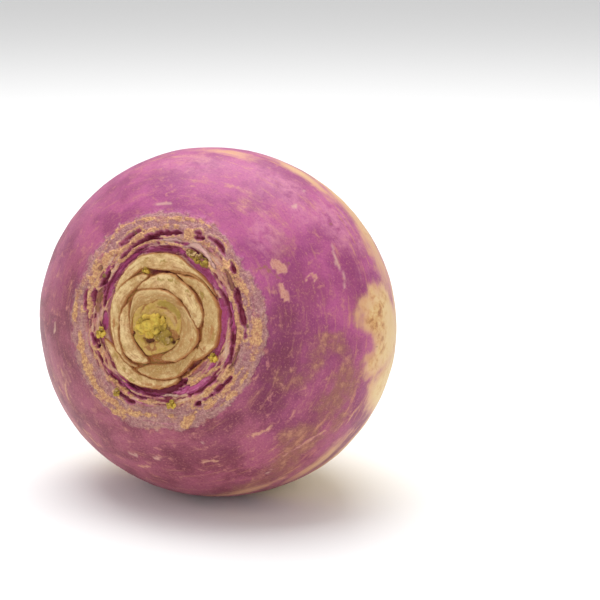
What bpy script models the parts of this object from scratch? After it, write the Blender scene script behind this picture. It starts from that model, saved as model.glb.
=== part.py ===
"""A purple-top turnip, topped and tailed for market, lying on its flank.

The swollen root grew as one body: crown, cork ring, shoulder, flank, base and the stump of its tail. Its
leaves were cut off, so their bases stand on the crown, wrapped round the heart in a spiral, with side buds
between them. The rims and furrows outside them, where older leaves stood, are the root's own.

Each piece is modelled upright, crown up, in the turnip's own axes: +Z from the middle of the widest girth to
the crown. The parent empty then lays the turnip on its flank, crown to -Y. Metres, +Z up. The origin is the
centre of the flat spot that it rests on.
"""

import math

import bmesh
import bpy
from mathutils import Euler, Matrix, Vector

MM = 0.001
FLOOR_GAP = 0.3 * MM  # between a piece and what it grows from

# How the turnip lies
CROWN_TILT = math.radians(14)  # the crown looks this far above level
REST_DEPTH = 1.2 * MM  # how much of the flank the flat resting spot takes off

# The root: a superellipse above the widest girth, another below it, and the tail
GIRTH_RADIUS = 45.9 * MM
CROWN_RISE = 32.0 * MM
CROWN_POWER = 2.2
BASE_DROP = 42.0 * MM
BASE_POWER = 2.1
BROADENING = 0.0675  # the girth is this much wider across than it is high
BELLY_RISE = 0.3 * MM  # how far the girth's middle sits off the crown's axis, to +Y
LEAN = 6.0 * MM  # how far the base sags the other way
LEAN_POWER = 1.5
TAIL_ROOT_RADIUS = 7.0 * MM
TAIL_TIP_RADIUS = 2.2 * MM
TAIL_LENGTH = 15.0 * MM
TAIL_TAPER = 2.2
TAIL_BLEND = 2.4  # a low value fills the corner between base and tail
TURN_STEPS = 72

# The crown: a flat floor for the leaf bases, and rings of (radius, rise above the superellipse) round it
FLOOR_RADIUS = 17.7 * MM
FLOOR_HEIGHT = 27.0 * MM
FLOOR_SHIFT = 0.3 * MM  # how far the floor sits off the axis, to +Y
CROWN_RINGS = (
    (18.4 * MM, -0.9 * MM),  # lip of the floor
    (19.8 * MM, -0.3 * MM),  # rims of the oldest leaves
    (21.2 * MM, -1.3 * MM),  # furrow
    (22.3 * MM, 0.1 * MM),  # inner edge of the cork ring
    (25.0 * MM, 0.5 * MM),
    (27.8 * MM, 0.2 * MM),  # outer edge of the cork ring
)
ROSETTE_TURN = math.radians(7)  # how far the leaf bases have wound round the axis
ROSETTE_CENTRE = (0.9 * MM, 0.3 * MM, 0)  # where their middle sits, a little off the axis

# A cut leaf base seen from above, as (x, y, thickness) along the middle of its crescent, in millimetres
LEAF_BASES = {
    "leaf_base_1": (
        (-14.3, 5.6, 0.4),
        (-11.3, 11.1, 2.1),
        (-5.6, 15.0, 3.2),
        (0.8, 14.9, 3.7),
        (6.9, 13.1, 2.0),
        (12.3, 9.0, 0.5),
    ),
    "leaf_base_2": (
        (-12.4, -7.4, 0.8),
        (-14.2, -2.8, 1.4),
        (-13.9, 2.0, 2.0),
        (-11.9, 6.4, 2.2),
        (-8.2, 9.5, 1.8),
        (-4.6, 11.1, 0.4),
    ),
    "leaf_base_3": (
        (-6.6, 8.4, 0.5),
        (-3.2, 9.7, 2.4),
        (1.6, 9.6, 3.3),
        (6.1, 6.3, 3.1),
        (9.0, 2.2, 2.5),
        (9.9, -1.4, 0.4),
    ),
    "leaf_base_4": (
        (4.6, 11.0, 0.4),
        (9.4, 8.3, 2.0),
        (12.6, 4.0, 3.0),
        (13.1, -1.5, 3.5),
        (12.1, -6.0, 2.8),
        (9.6, -9.1, 0.4),
    ),
    "leaf_base_5": (
        (9.3, -6.0, 0.4),
        (7.7, -9.0, 1.3),
        (4.7, -11.4, 2.6),
        (0.2, -12.6, 3.0),
        (-4.0, -12.5, 2.0),
        (-7.2, -12.0, 0.6),
    ),
    "leaf_base_6": (
        (-17.0, -4.4, 0.4),
        (-15.2, -7.9, 1.3),
        (-12.2, -11.2, 2.3),
        (-8.0, -14.2, 2.4),
        (-3.0, -15.5, 2.0),
        (3.8, -14.7, 0.4),
    ),
    "leaf_base_7": (
        (-9.9, 4.8, 0.4),
        (-11.0, 1.6, 1.6),
        (-11.1, -2.2, 2.4),
        (-9.5, -6.2, 2.8),
        (-6.6, -8.9, 1.5),
        (-4.2, -9.8, 0.4),
    ),
    "leaf_base_8": (
        (-8.7, -3.0, 0.5),
        (-8.3, 1.4, 1.7),
        (-6.2, 5.4, 2.7),
        (-1.2, 6.4, 2.6),
        (3.5, 4.6, 1.8),
        (6.7, 0.4, 2.5),
        (7.0, -4.0, 3.6),
        (4.0, -7.7, 2.6),
        (-0.2, -9.0, 0.5),
    ),
}
# Heights of the cut faces, which wind in and up towards the heart
CUT_HEIGHTS = (29.8, 29.9, 30.3, 30.0, 30.0, 29.5, 30.3, 30.5)
CRESCENT_STEPS = 4  # between one point of a crescent and the next

# The heart: a cut core, as (x, y) round it in millimetres, with the youngest leaves as a knob on it
CORE_OUTLINE = (
    (4.7, -1.0),
    (3.9, 2.2),
    (0.8, 4.4),
    (-3.2, 4.2),
    (-6.0, 1.8),
    (-7.2, -2.0),
    (-6.4, -5.2),
    (-3.2, -8.2),
    (1.2, -6.8),
    (4.3, -4.2),
)
CORE_TOP = 30.6 * MM
KNOB_CENTRE = (-1.6 * MM, -1.0 * MM)
KNOB_RADIUS = 3.4 * MM
KNOB_HEIGHT = 3.0 * MM

# A side bud: x, y and foot height on the crown, belly radius, height, and stretch across and along
SIDE_BUDS = {
    "side_bud_1": (-5.5, 12.2, 27.4, 0.85, 3.0, 0.8, 1.1),
    "side_bud_2": (-17.6, -2.9, 29.1, 1.2, 1.9, 1.0, 1.1),
    "side_bud_3": (13.3, -9.1, 27.4, 1.1, 3.2, 1.0, 1.2),
    "side_bud_4": (2.3, -20.6, 29.35, 1.1, 1.9, 1.0, 1.2),
    "side_bud_5": (-13.1, -17.8, 29.3, 0.8, 1.5, 1.0, 1.1),
    "side_bud_6": (10.1, 15.7, 29.55, 1.2, 2.1, 0.9, 1.6),
}
BUD_STEPS = 16

SKIN = ("purple_skin", (0.42, 0.12, 0.24, 1.0), 0.42)
LEAF_FLESH = ("cut_leaf_base", (0.62, 0.44, 0.22, 1.0), 0.75)
HEART_FLESH = ("heart_flesh", (0.56, 0.42, 0.12, 1.0), 0.70)
BUD_GREEN = ("bud_green", (0.50, 0.46, 0.06, 1.0), 0.60)


def clear_scene():
    """Removes whatever objects the scene starts with."""
    for obj in list(bpy.data.objects):
        bpy.data.objects.remove(obj)


def make_collection(name):
    """A new collection in the scene."""
    collection = bpy.data.collections.new(name)
    bpy.context.scene.collection.children.link(collection)
    return collection


def make_material(name, colour, roughness):
    """A Principled material, made once and then shared by name."""
    material = bpy.data.materials.get(name)
    if material is None:
        material = bpy.data.materials.new(name)
        material.use_nodes = True
        shader = material.node_tree.nodes["Principled BSDF"]
        shader.inputs["Base Color"].default_value = colour
        shader.inputs["Roughness"].default_value = roughness
        shader.inputs["Metallic"].default_value = 0.0
    return material


def add_piece(name, data, finish, collection, axes, location=(0, 0, 0), turn=0.0):
    """An object of this mesh or curve, placed in the turnip's own axes."""
    data.materials.append(make_material(*finish))
    piece = bpy.data.objects.new(name, data)
    piece.location = location
    piece.rotation_euler = (0, 0, turn)
    piece.parent = axes
    collection.objects.link(piece)
    return piece


def crown_height(radius):
    """Height of the crown's plain superellipse at this distance from the axis."""
    return CROWN_RISE * (1 - (radius / GIRTH_RADIUS) ** CROWN_POWER) ** (1 / CROWN_POWER)


def root_outline():
    """(radius, height) from the middle of the crown, over the shoulder, to the end of the tail."""
    outline = [(0.0, FLOOR_HEIGHT), (FLOOR_RADIUS, FLOOR_HEIGHT)]
    outline += [(radius, crown_height(radius) + rise) for radius, rise in CROWN_RINGS]

    shoulder = math.acos((crown_height(29.5 * MM) / CROWN_RISE) ** (CROWN_POWER / 2))
    above = 9
    for step in range(above):
        angle = shoulder + (math.pi / 2 - shoulder) * step / above
        radius = GIRTH_RADIUS * math.sin(angle) ** (2 / CROWN_POWER)
        outline.append((radius, CROWN_RISE * math.cos(angle) ** (2 / CROWN_POWER)))

    below = 16
    for step in range(below):
        angle = math.pi / 2 * step / below
        body = GIRTH_RADIUS * math.cos(angle) ** (2 / BASE_POWER)
        height = -BASE_DROP * math.sin(angle) ** (2 / BASE_POWER)
        outline.append((blend_with_tail(body, height), height))
    for share in (0.0, 0.08, 0.2, 0.38, 0.65, 0.95):
        height = -BASE_DROP - TAIL_LENGTH * share
        outline.append((tail_radius(share), height))
    tail_end = -BASE_DROP - TAIL_LENGTH
    outline += [(TAIL_TIP_RADIUS * 0.8, tail_end), (0.0, tail_end)]
    return outline


def tail_radius(share):
    """Radius of the tail this share of the way along it."""
    return TAIL_TIP_RADIUS + (TAIL_ROOT_RADIUS - TAIL_TIP_RADIUS) * (1 - share) ** TAIL_TAPER


def blend_with_tail(body, height):
    """Radius where the base runs smoothly into the tail."""
    tail = TAIL_ROOT_RADIUS * (-height / BASE_DROP) ** 6
    return (body**TAIL_BLEND + tail**TAIL_BLEND) ** (1 / TAIL_BLEND)


def turned_mesh(name, outline, steps):
    """The solid mesh that this (radius, height) outline makes when turned about Z."""
    profile = bpy.data.meshes.new(name + "_profile")
    points = [(radius, 0.0, height) for radius, height in outline]
    edges = [(i, i + 1) for i in range(len(points) - 1)]
    profile.from_pydata(points, edges, [])
    turner = bpy.data.objects.new(name + "_turner", profile)
    bpy.context.scene.collection.objects.link(turner)
    screw = turner.modifiers.new("Turn", "SCREW")
    screw.angle = 2 * math.pi
    screw.steps = steps
    screw.render_steps = steps
    screw.use_merge_vertices = True
    screw.merge_threshold = 0.00001
    graph = bpy.context.evaluated_depsgraph_get()
    mesh = bpy.data.meshes.new_from_object(turner.evaluated_get(graph))
    mesh.name = name
    bpy.data.objects.remove(turner)
    return mesh


def grow_lopsided(mesh):
    """Shifts the floor, broadens the girth across X, and sags the base to -Y, as an uneven root grows."""
    inner_edge = CROWN_RINGS[3][0]
    for vertex in mesh.vertices:
        x, y, z = vertex.co
        radius = math.hypot(x, y)
        shift = 0.0
        if z > 0:
            shift = min(max((inner_edge - radius) / (inner_edge - CROWN_RINGS[0][0]), 0.0), 1.0)
        vertex.co.x = x * (1 + BROADENING * (radius / GIRTH_RADIUS) ** 2)
        rise = BELLY_RISE * (1 - (max(z, 0.0) / CROWN_RISE) ** 2) + FLOOR_SHIFT * shift
        vertex.co.y = y + rise - LEAN * (max(-z, 0.0) / BASE_DROP) ** LEAN_POWER


def lay_down(axes, root_mesh):
    """Tilts the axes, and lowers them until the floor takes REST_DEPTH off the root under their origin."""
    turn = Euler((math.pi / 2 - CROWN_TILT, 0, 0))
    laid = [turn.to_matrix() @ vertex.co for vertex in root_mesh.vertices]
    floor = min(point.z for point in laid) + REST_DEPTH
    pressed = [point.y for point in laid if point.z < floor]
    axes.rotation_euler = turn
    axes.location = (0, -(min(pressed) + max(pressed)) / 2, -floor)


def add_rest_spot(root, cutters):
    """Cuts the flat resting spot with a block whose top is the floor."""
    side = 2.4 * GIRTH_RADIUS
    block_mesh = bpy.data.meshes.new("floor_block")
    shape = bmesh.new()
    bmesh.ops.create_cube(shape, size=side, matrix=Matrix.Translation((0, 0, -side / 2)))
    shape.to_mesh(block_mesh)
    shape.free()
    block = bpy.data.objects.new("floor_block", block_mesh)
    block.hide_render = True
    block.display_type = "WIRE"
    cutters.objects.link(block)
    cut = root.modifiers.new("Rest spot", "BOOLEAN")
    cut.operation = "DIFFERENCE"
    cut.solver = "EXACT"
    cut.object = block


def along_spine(spine, place):
    """(point, thickness) at this place along a crescent's spine, on a Catmull-Rom curve through its points."""
    index = min(int(place), len(spine) - 2)
    share = place - index
    ends = [max(index - 1, 0), index, index + 1, min(index + 2, len(spine) - 1)]
    before, start, end, after = (Vector(spine[i]) for i in ends)
    out = (end - before) / 2
    into = (after - start) / 2
    bend = 3 * (end - start) - 2 * out - into
    twist = 2 * (start - end) + out + into
    value = start + out * share + bend * share**2 + twist * share**3
    return Vector((value.x, value.y, 0)) * MM, value.z * MM


def crescent_outline(spine):
    """The closed outline of a crescent: out along one side of its spine, and back along the other."""
    last = len(spine) - 1
    one_side, other_side = [], []
    for step in range(last * CRESCENT_STEPS + 1):
        place = step / CRESCENT_STEPS
        point, thickness = along_spine(spine, place)
        ahead, _ = along_spine(spine, min(place + 0.05, last))
        behind, _ = along_spine(spine, max(place - 0.05, 0.0))
        heading = (ahead - behind).normalized()
        across = Vector((-heading.y, heading.x, 0)) * thickness / 2
        one_side.append(point + across)
        other_side.append(point - across)
    return one_side + other_side[::-1]


def extruded_outline(name, points, foot, top):
    """A filled 2D curve through these points, standing from foot to top. Returns it with its mid height."""
    curve = bpy.data.curves.new(name, "CURVE")
    curve.dimensions = "2D"
    curve.fill_mode = "BOTH"
    curve.extrude = (top - foot) / 2
    spline = curve.splines.new("POLY")
    spline.points.add(len(points) - 1)
    for target, point in zip(spline.points, points):
        target.co = (point.x, point.y, 0, 1)
    spline.use_cyclic_u = True
    return curve, (foot + top) / 2


def add_leaf_base(name, spine, top, collection, axes):
    """One crescent-shaped leaf base, cut off square."""
    outline = crescent_outline(spine)
    curve, middle = extruded_outline(name, outline, FLOOR_HEIGHT + FLOOR_GAP, top * MM)
    add_piece(name, curve, LEAF_FLESH, collection, axes, (0, 0, middle))


def core_outline():
    """The core's outline, smooth through its points."""
    count = len(CORE_OUTLINE)
    ring = [(x, y, 0) for x, y in CORE_OUTLINE]
    ring = ring[-1:] + ring + ring[:2]
    places = range(CRESCENT_STEPS, (count + 1) * CRESCENT_STEPS)
    return [along_spine(ring, step / CRESCENT_STEPS)[0] for step in places]


def add_heart(collection, axes):
    """The cut core of the shoot, and the knob of youngest leaves on it."""
    core = core_outline()
    curve, middle = extruded_outline("heart_core", core, FLOOR_HEIGHT + FLOOR_GAP, CORE_TOP)
    add_piece("heart_core", curve, HEART_FLESH, collection, axes, (0, 0, middle))

    rows = 7
    dome = [(0.0, KNOB_HEIGHT)]
    for step in range(1, rows):
        angle = math.pi / 2 * step / rows
        dome.append((KNOB_RADIUS * math.sin(angle), KNOB_HEIGHT * math.cos(angle)))
    dome += [(KNOB_RADIUS, 0.0), (0.0, 0.0)]
    knob = turned_mesh("heart_bud", dome, 28)
    add_piece("heart_bud", knob, BUD_GREEN, collection, axes, (*KNOB_CENTRE, CORE_TOP + FLOOR_GAP))


def add_side_bud(name, sizes, collection, axes):
    """A drop-shaped bud on a narrow foot, wider along the crown's rim than across it."""
    x, y, foot, belly, height, across, along = sizes
    foot_radius = 0.4
    outline = [(0.0, height)]
    rows = 6
    for step in range(1, rows):
        angle = math.pi * 0.82 * step / rows
        outline.append((belly * math.sin(angle), height - belly * (1 - math.cos(angle))))
    outline += [(foot_radius, 0.0), (0.0, 0.0)]
    mesh = turned_mesh(name, [(radius * MM, z * MM) for radius, z in outline], BUD_STEPS)
    mesh.transform(Matrix.Diagonal((across, along, 1.0, 1.0)))
    place = (x * MM, y * MM, foot * MM)
    add_piece(name, mesh, BUD_GREEN, collection, axes, place, math.atan2(y, x))


def main():
    clear_scene()
    parts = make_collection("turnip")
    cutters = make_collection("cutters")
    cutters.hide_render = True
    axes = bpy.data.objects.new("turnip_axes", None)
    parts.objects.link(axes)

    root_mesh = turned_mesh("root", root_outline(), TURN_STEPS)
    grow_lopsided(root_mesh)
    root = add_piece("root", root_mesh, SKIN, parts, axes)
    root_mesh.shade_smooth()
    root_mesh.set_sharp_from_angle(angle=math.radians(40))
    lay_down(axes, root_mesh)
    add_rest_spot(root, cutters)

    rosette = bpy.data.objects.new("rosette_axes", None)
    rosette.parent = axes
    rosette.location = ROSETTE_CENTRE
    rosette.rotation_euler = (0, 0, ROSETTE_TURN)
    parts.objects.link(rosette)
    for (name, spine), top in zip(LEAF_BASES.items(), CUT_HEIGHTS):
        add_leaf_base(name, spine, top, parts, rosette)
    add_heart(parts, rosette)
    for name, sizes in SIDE_BUDS.items():
        add_side_bud(name, sizes, parts, rosette)


main()
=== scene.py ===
"""Looks of a purple-top turnip lying on its flank, crown to the front.

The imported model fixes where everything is. Here its plain solids get the surface of the grown thing: a root
with a corky, furrowed crown, the stubs of cut leaf stalks, the pithy heart with its crumbs of young leaf, and
the buds that sprout round it. Shapes are worked out in millimetres on the turnip's own axes, with the crown
on +Z, and are laid down into the frame at the end.
"""

import itertools
import logging
import math
from collections.abc import Iterable, Sequence
from dataclasses import dataclass
from enum import Enum
from typing import Any

import bmesh
import bpy
import numpy as np
from mathutils import Matrix, Vector


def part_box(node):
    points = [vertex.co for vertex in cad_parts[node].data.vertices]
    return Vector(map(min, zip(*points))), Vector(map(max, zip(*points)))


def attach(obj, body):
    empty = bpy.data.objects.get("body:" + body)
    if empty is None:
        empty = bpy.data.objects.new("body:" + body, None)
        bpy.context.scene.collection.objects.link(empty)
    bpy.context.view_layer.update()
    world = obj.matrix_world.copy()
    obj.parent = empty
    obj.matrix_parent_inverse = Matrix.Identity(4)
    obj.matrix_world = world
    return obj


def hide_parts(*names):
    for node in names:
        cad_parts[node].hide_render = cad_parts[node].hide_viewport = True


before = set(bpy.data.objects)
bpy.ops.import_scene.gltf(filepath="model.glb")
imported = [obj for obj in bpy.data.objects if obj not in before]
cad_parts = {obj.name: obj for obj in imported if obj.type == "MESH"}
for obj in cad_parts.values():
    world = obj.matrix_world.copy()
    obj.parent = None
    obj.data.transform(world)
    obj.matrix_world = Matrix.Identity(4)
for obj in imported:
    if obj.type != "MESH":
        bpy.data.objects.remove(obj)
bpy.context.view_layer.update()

logging.basicConfig(level=logging.INFO, format="%(message)s")
log = logging.getLogger("turnip")

MM = 0.001
# The radius of the ball that the skin is mapped as, in millimetres
SKIN_RADIUS = 45.0
GOLDEN_ANGLE = math.radians(137.5)
Colour = tuple[float, float, float]
Spot = tuple[float, float]


# ---------------------------------------------------------------- helpers for shapes


def smooth_step(values: np.ndarray) -> np.ndarray:
    """Eases values from 0 to 1, holding them flat outside that range."""
    held = np.clip(values, 0.0, 1.0)
    return held * held * (3 - 2 * held)


def through(stations: Sequence[Sequence[float]], count: int, closed: bool = False) -> np.ndarray:
    """Draws a smooth curve through given stations.

    Args:
        stations: The points that the curve passes through, each with two or more values.
        count: How many points to give back, spread evenly between the stations.
        closed: Whether the curve returns to its first station.

    Returns:
        The points of the curve, one a row.
    """
    given = np.array(stations, float)
    if closed:
        padded = np.vstack((given[-1:], given, given[:2]))
    else:
        padded = np.vstack((2 * given[0] - given[1], given, 2 * given[-1] - given[-2]))
    spans = len(padded) - 3
    place = np.linspace(0, spans, count, endpoint=not closed)
    span = np.minimum(place.astype(int), spans - 1)
    t = (place - span)[:, None]
    before, start, end, after = (padded[span + step] for step in range(4))
    return 0.5 * (
        2 * start
        + (end - before) * t
        + (2 * before - 5 * start + 4 * end - after) * t**2
        + (3 * start - before - 3 * end + after) * t**3
    )


@dataclass(frozen=True)
class Grain:
    """Soft random lumps that fill space, all of about one size in millimetres."""

    size: float
    seed: int = 0
    scatter: tuple[float, float, float] = (127.1, 311.7, 74.7)
    scatter_gain: float = 43758.5453

    def at(self, points: np.ndarray) -> np.ndarray:
        """Gives the lumps' value, from -1 to 1, at each point."""
        axes = points.shape[1]
        scaled = points / self.size + 31.7 * self.seed
        cell = np.floor(scaled)
        part = smooth_step(scaled - cell)
        total = np.zeros(len(points))
        for corner in itertools.product((0, 1), repeat=axes):
            weight = np.prod(np.where(corner, part, 1 - part), axis=1)
            mixed = np.sin((cell + corner) @ np.array(self.scatter[:axes])) * self.scatter_gain
            total += weight * (2 * (mixed - np.floor(mixed)) - 1)
        return total

    def rough(self, points: np.ndarray, octaves: int = 3) -> np.ndarray:
        """Adds finer lumps to the large ones, each half as high and half as wide as the last."""
        grains = (Grain(self.size / 2**step, self.seed + step) for step in range(octaves))
        layers = (grain.at(points) / 2**step for step, grain in enumerate(grains))
        return sum(layers) / (2 - 0.5 ** (octaves - 1))


class Piece:
    """One mesh: its points in millimetres on the turnip's axes, and what its finish needs to know of them."""

    def __init__(self, name: str, mesh: bpy.types.Mesh) -> None:
        """Takes the mesh over, named for the piece."""
        self.name = name
        self.mesh = mesh
        mesh.name = name

    @classmethod
    def of(cls, name: str, shape: bmesh.types.BMesh) -> "Piece":
        """Turns a finished bmesh into a piece, and frees it."""
        mesh = bpy.data.meshes.new(name)
        bmesh.ops.recalc_face_normals(shape, faces=shape.faces)
        shape.to_mesh(mesh)
        shape.free()
        return cls(name, mesh)

    def _read(self, name: str) -> np.ndarray:
        """Reads a vector of each of the mesh's points, one a row."""
        values = np.empty(len(self.mesh.vertices) * 3, np.float32)
        self.mesh.vertices.foreach_get(name, values)
        return values.reshape(-1, 3).astype(float)

    @property
    def points(self) -> np.ndarray:
        """The mesh's points, one a row."""
        return self._read("co")

    @points.setter
    def points(self, moved: np.ndarray) -> None:
        """Moves the mesh's points."""
        self.mesh.vertices.foreach_set("co", moved.astype(np.float32).ravel())
        self.mesh.update()

    @property
    def normals(self) -> np.ndarray:
        """The direction that the surface faces at each point."""
        return self._read("normal")

    def note(self, name: str, values: np.ndarray) -> None:
        """Stores a value, or a vector, for each point, for the finish to read."""
        kind, slot = ("FLOAT", "value") if values.ndim == 1 else ("FLOAT_VECTOR", "vector")
        attribute = self.mesh.attributes.new(name, kind, "POINT")
        attribute.data.foreach_set(slot, values.astype(np.float32).ravel())

    def lay_down(self, axes: "Axes", material: bpy.types.Material, slot: str, nodes: Iterable[str]) -> None:
        """Puts the piece in its place in the frame and gives it its finish.

        Args:
            axes: The turnip's axes as they lie in the frame.
            material: The finish.
            slot: The record's name for that finish.
            nodes: The solids that the piece stands for.
        """
        self.points = axes.into_frame(self.points)
        self.mesh.materials.append(material)
        self.mesh.shade_smooth()
        thing = bpy.data.objects.new(self.name, self.mesh)
        bpy.context.scene.collection.objects.link(thing)
        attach(thing, "root")
        replaced = tuple(nodes)
        if replaced:
            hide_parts(*replaced)
        log.info("%s: %d faces, finish %s", self.name, len(self.mesh.polygons), slot)


def turned(name: str, outline: Sequence[Spot], turns: int) -> Piece:
    """Turns a half outline, from axis to axis, round +Z into a closed piece.

    Args:
        name: The piece's name.
        outline: (radius, height) points.
        turns: How many steps make the full turn.

    Returns:
        The piece.
    """
    shape = bmesh.new()
    line = [shape.verts.new((radius, 0, height)) for radius, height in outline]
    edges = [shape.edges.new(pair) for pair in itertools.pairwise(line)]
    full = {"angle": 2 * math.pi, "steps": turns, "use_merge": True}
    bmesh.ops.spin(shape, geom=line + edges, axis=(0, 0, 1), cent=(0, 0, 0), **full)
    bmesh.ops.remove_doubles(shape, verts=shape.verts, dist=0.0001)
    return Piece.of(name, shape)


# ---------------------------------------------------------------- helpers for finishes


class Wire:
    """A node's output, which takes part in sums as a number would."""

    def __init__(self, bench: "Bench", socket: bpy.types.NodeSocket) -> None:
        """Keeps the socket with the bench that its sums are built on."""
        self.bench = bench
        self.socket = socket

    def _sum(self, operation: str, first: Any, second: Any) -> "Wire":
        """Adds a Math node."""
        return self.bench.node("ShaderNodeMath", {"operation": operation}, {0: first, 1: second})

    def __add__(self, other: Any) -> "Wire":
        """Adds."""
        return self._sum("ADD", self, other)

    def __radd__(self, other: Any) -> "Wire":
        """Adds to a number."""
        return self._sum("ADD", other, self)

    def __sub__(self, other: Any) -> "Wire":
        """Subtracts."""
        return self._sum("SUBTRACT", self, other)

    def __rsub__(self, other: Any) -> "Wire":
        """Subtracts from a number."""
        return self._sum("SUBTRACT", other, self)

    def __mul__(self, other: Any) -> "Wire":
        """Multiplies."""
        return self._sum("MULTIPLY", self, other)

    def __rmul__(self, other: Any) -> "Wire":
        """Multiplies a number."""
        return self._sum("MULTIPLY", other, self)

    def held(self) -> "Wire":
        """Holds the value between 0 and 1."""
        return self.bench.node("ShaderNodeClamp", {}, {0: self})

    def step(self, low: float, high: float) -> "Wire":
        """Eases from 0 at low to 1 at high."""
        settings = {"interpolation_type": "SMOOTHSTEP"}
        return self.bench.node("ShaderNodeMapRange", settings, {0: self, 1: low, 2: high})


class Bench:
    """Where one material is put together, node by node."""

    def __init__(self, name: str) -> None:
        """Starts a material that holds only its surface shader."""
        self.material = bpy.data.materials.new(name)
        self.material.use_nodes = True
        self.tree = self.material.node_tree
        self.tree.nodes.clear()
        self.surface = self.tree.nodes.new("ShaderNodeBsdfPrincipled")
        output = self.tree.nodes.new("ShaderNodeOutputMaterial")
        self.tree.links.new(self.surface.outputs[0], output.inputs["Surface"])

    def node(
        self, kind: str, settings: dict[str, Any], inputs: dict[int | str, Any], output: int | str = 0
    ) -> Wire:
        """Adds a node.

        Args:
            kind: The node's type.
            settings: Its properties, which are set first.
            inputs: What goes into its sockets, as wires or plain values.
            output: The socket to give back.

        Returns:
            That output.
        """
        made = self.tree.nodes.new(kind)
        for name, value in settings.items():
            setattr(made, name, value)
        for socket, value in inputs.items():
            self.feed(made.inputs[socket], value)
        return Wire(self, made.outputs[output])

    def feed(self, socket: bpy.types.NodeSocket, value: Any) -> None:
        """Links a wire to a socket, or sets a plain value on it."""
        if isinstance(value, Wire):
            self.tree.links.new(value.socket, socket)
        elif isinstance(value, tuple) and socket.type == "RGBA":
            socket.default_value = (*value, 1)
        else:
            socket.default_value = value

    def value(self, name: str) -> Wire:
        """Reads a value that the piece notes for each point."""
        return self.node("ShaderNodeAttribute", {"attribute_name": name}, {}, "Fac")

    def vector(self, name: str) -> Wire:
        """Reads a vector that the piece notes for each point."""
        return self.node("ShaderNodeAttribute", {"attribute_name": name}, {}, "Vector")

    def stretched(self, vector: Wire, scale: tuple[float, float, float]) -> Wire:
        """Stretches a pattern's coordinates, and so squeezes the pattern, along each axis."""
        return self.node("ShaderNodeMapping", {}, {"Vector": vector, "Scale": scale})

    def noise(self, vector: Wire, size: float, detail: float, rough: float, bend: float = 0.0) -> Wire:
        """Adds cloudy noise whose lumps are about size across, in the vector's own units."""
        lumps = {"Vector": vector, "Scale": 1 / size}
        return self.node(
            "ShaderNodeTexNoise", {}, lumps | {"Detail": detail, "Roughness": rough, "Distortion": bend}
        )

    def cells(self, vector: Wire, size: float) -> Wire:
        """Adds a pattern of irregular cells about size across."""
        return self.node("ShaderNodeTexVoronoi", {}, {"Vector": vector, "Scale": 1 / size}, "Distance")

    def blend(self, share: Any, first: Any, second: Any) -> Wire:
        """Mixes the second colour over the first, by the share given."""
        settings = {"data_type": "RGBA", "clamp_factor": True}
        return self.node("ShaderNodeMix", settings, {0: share, 6: first, 7: second}, 2)

    def bump(self, height: Wire, depth: float, under: Wire | None = None) -> Wire:
        """Turns heights from 0 to 1 into slopes, for a relief that is depth millimetres deep."""
        inputs: dict[int | str, Any] = {"Strength": 1.0, "Distance": depth * MM, "Height": height}
        if under:
            inputs["Normal"] = under
        return self.node("ShaderNodeBump", {}, inputs, "Normal")

    def finish(self, **sockets: Any) -> bpy.types.Material:
        """Feeds the surface's sockets, named with _ for a space, and gives back the material."""
        for name, value in sockets.items():
            self.feed(self.surface.inputs[name.replace("_", " ")], value)
        return self.material


def tone(red: int, green: int, blue: int) -> Colour:
    """Turns a colour as screens number it, 0 to 255, into the shader's linear light."""
    shares = (value / 255 for value in (red, green, blue))
    return tuple(s / 12.92 if s <= 0.04045 else ((s + 0.055) / 1.055) ** 2.4 for s in shares)


# ---------------------------------------------------------------- the turnip's axes and its plain outline


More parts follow.
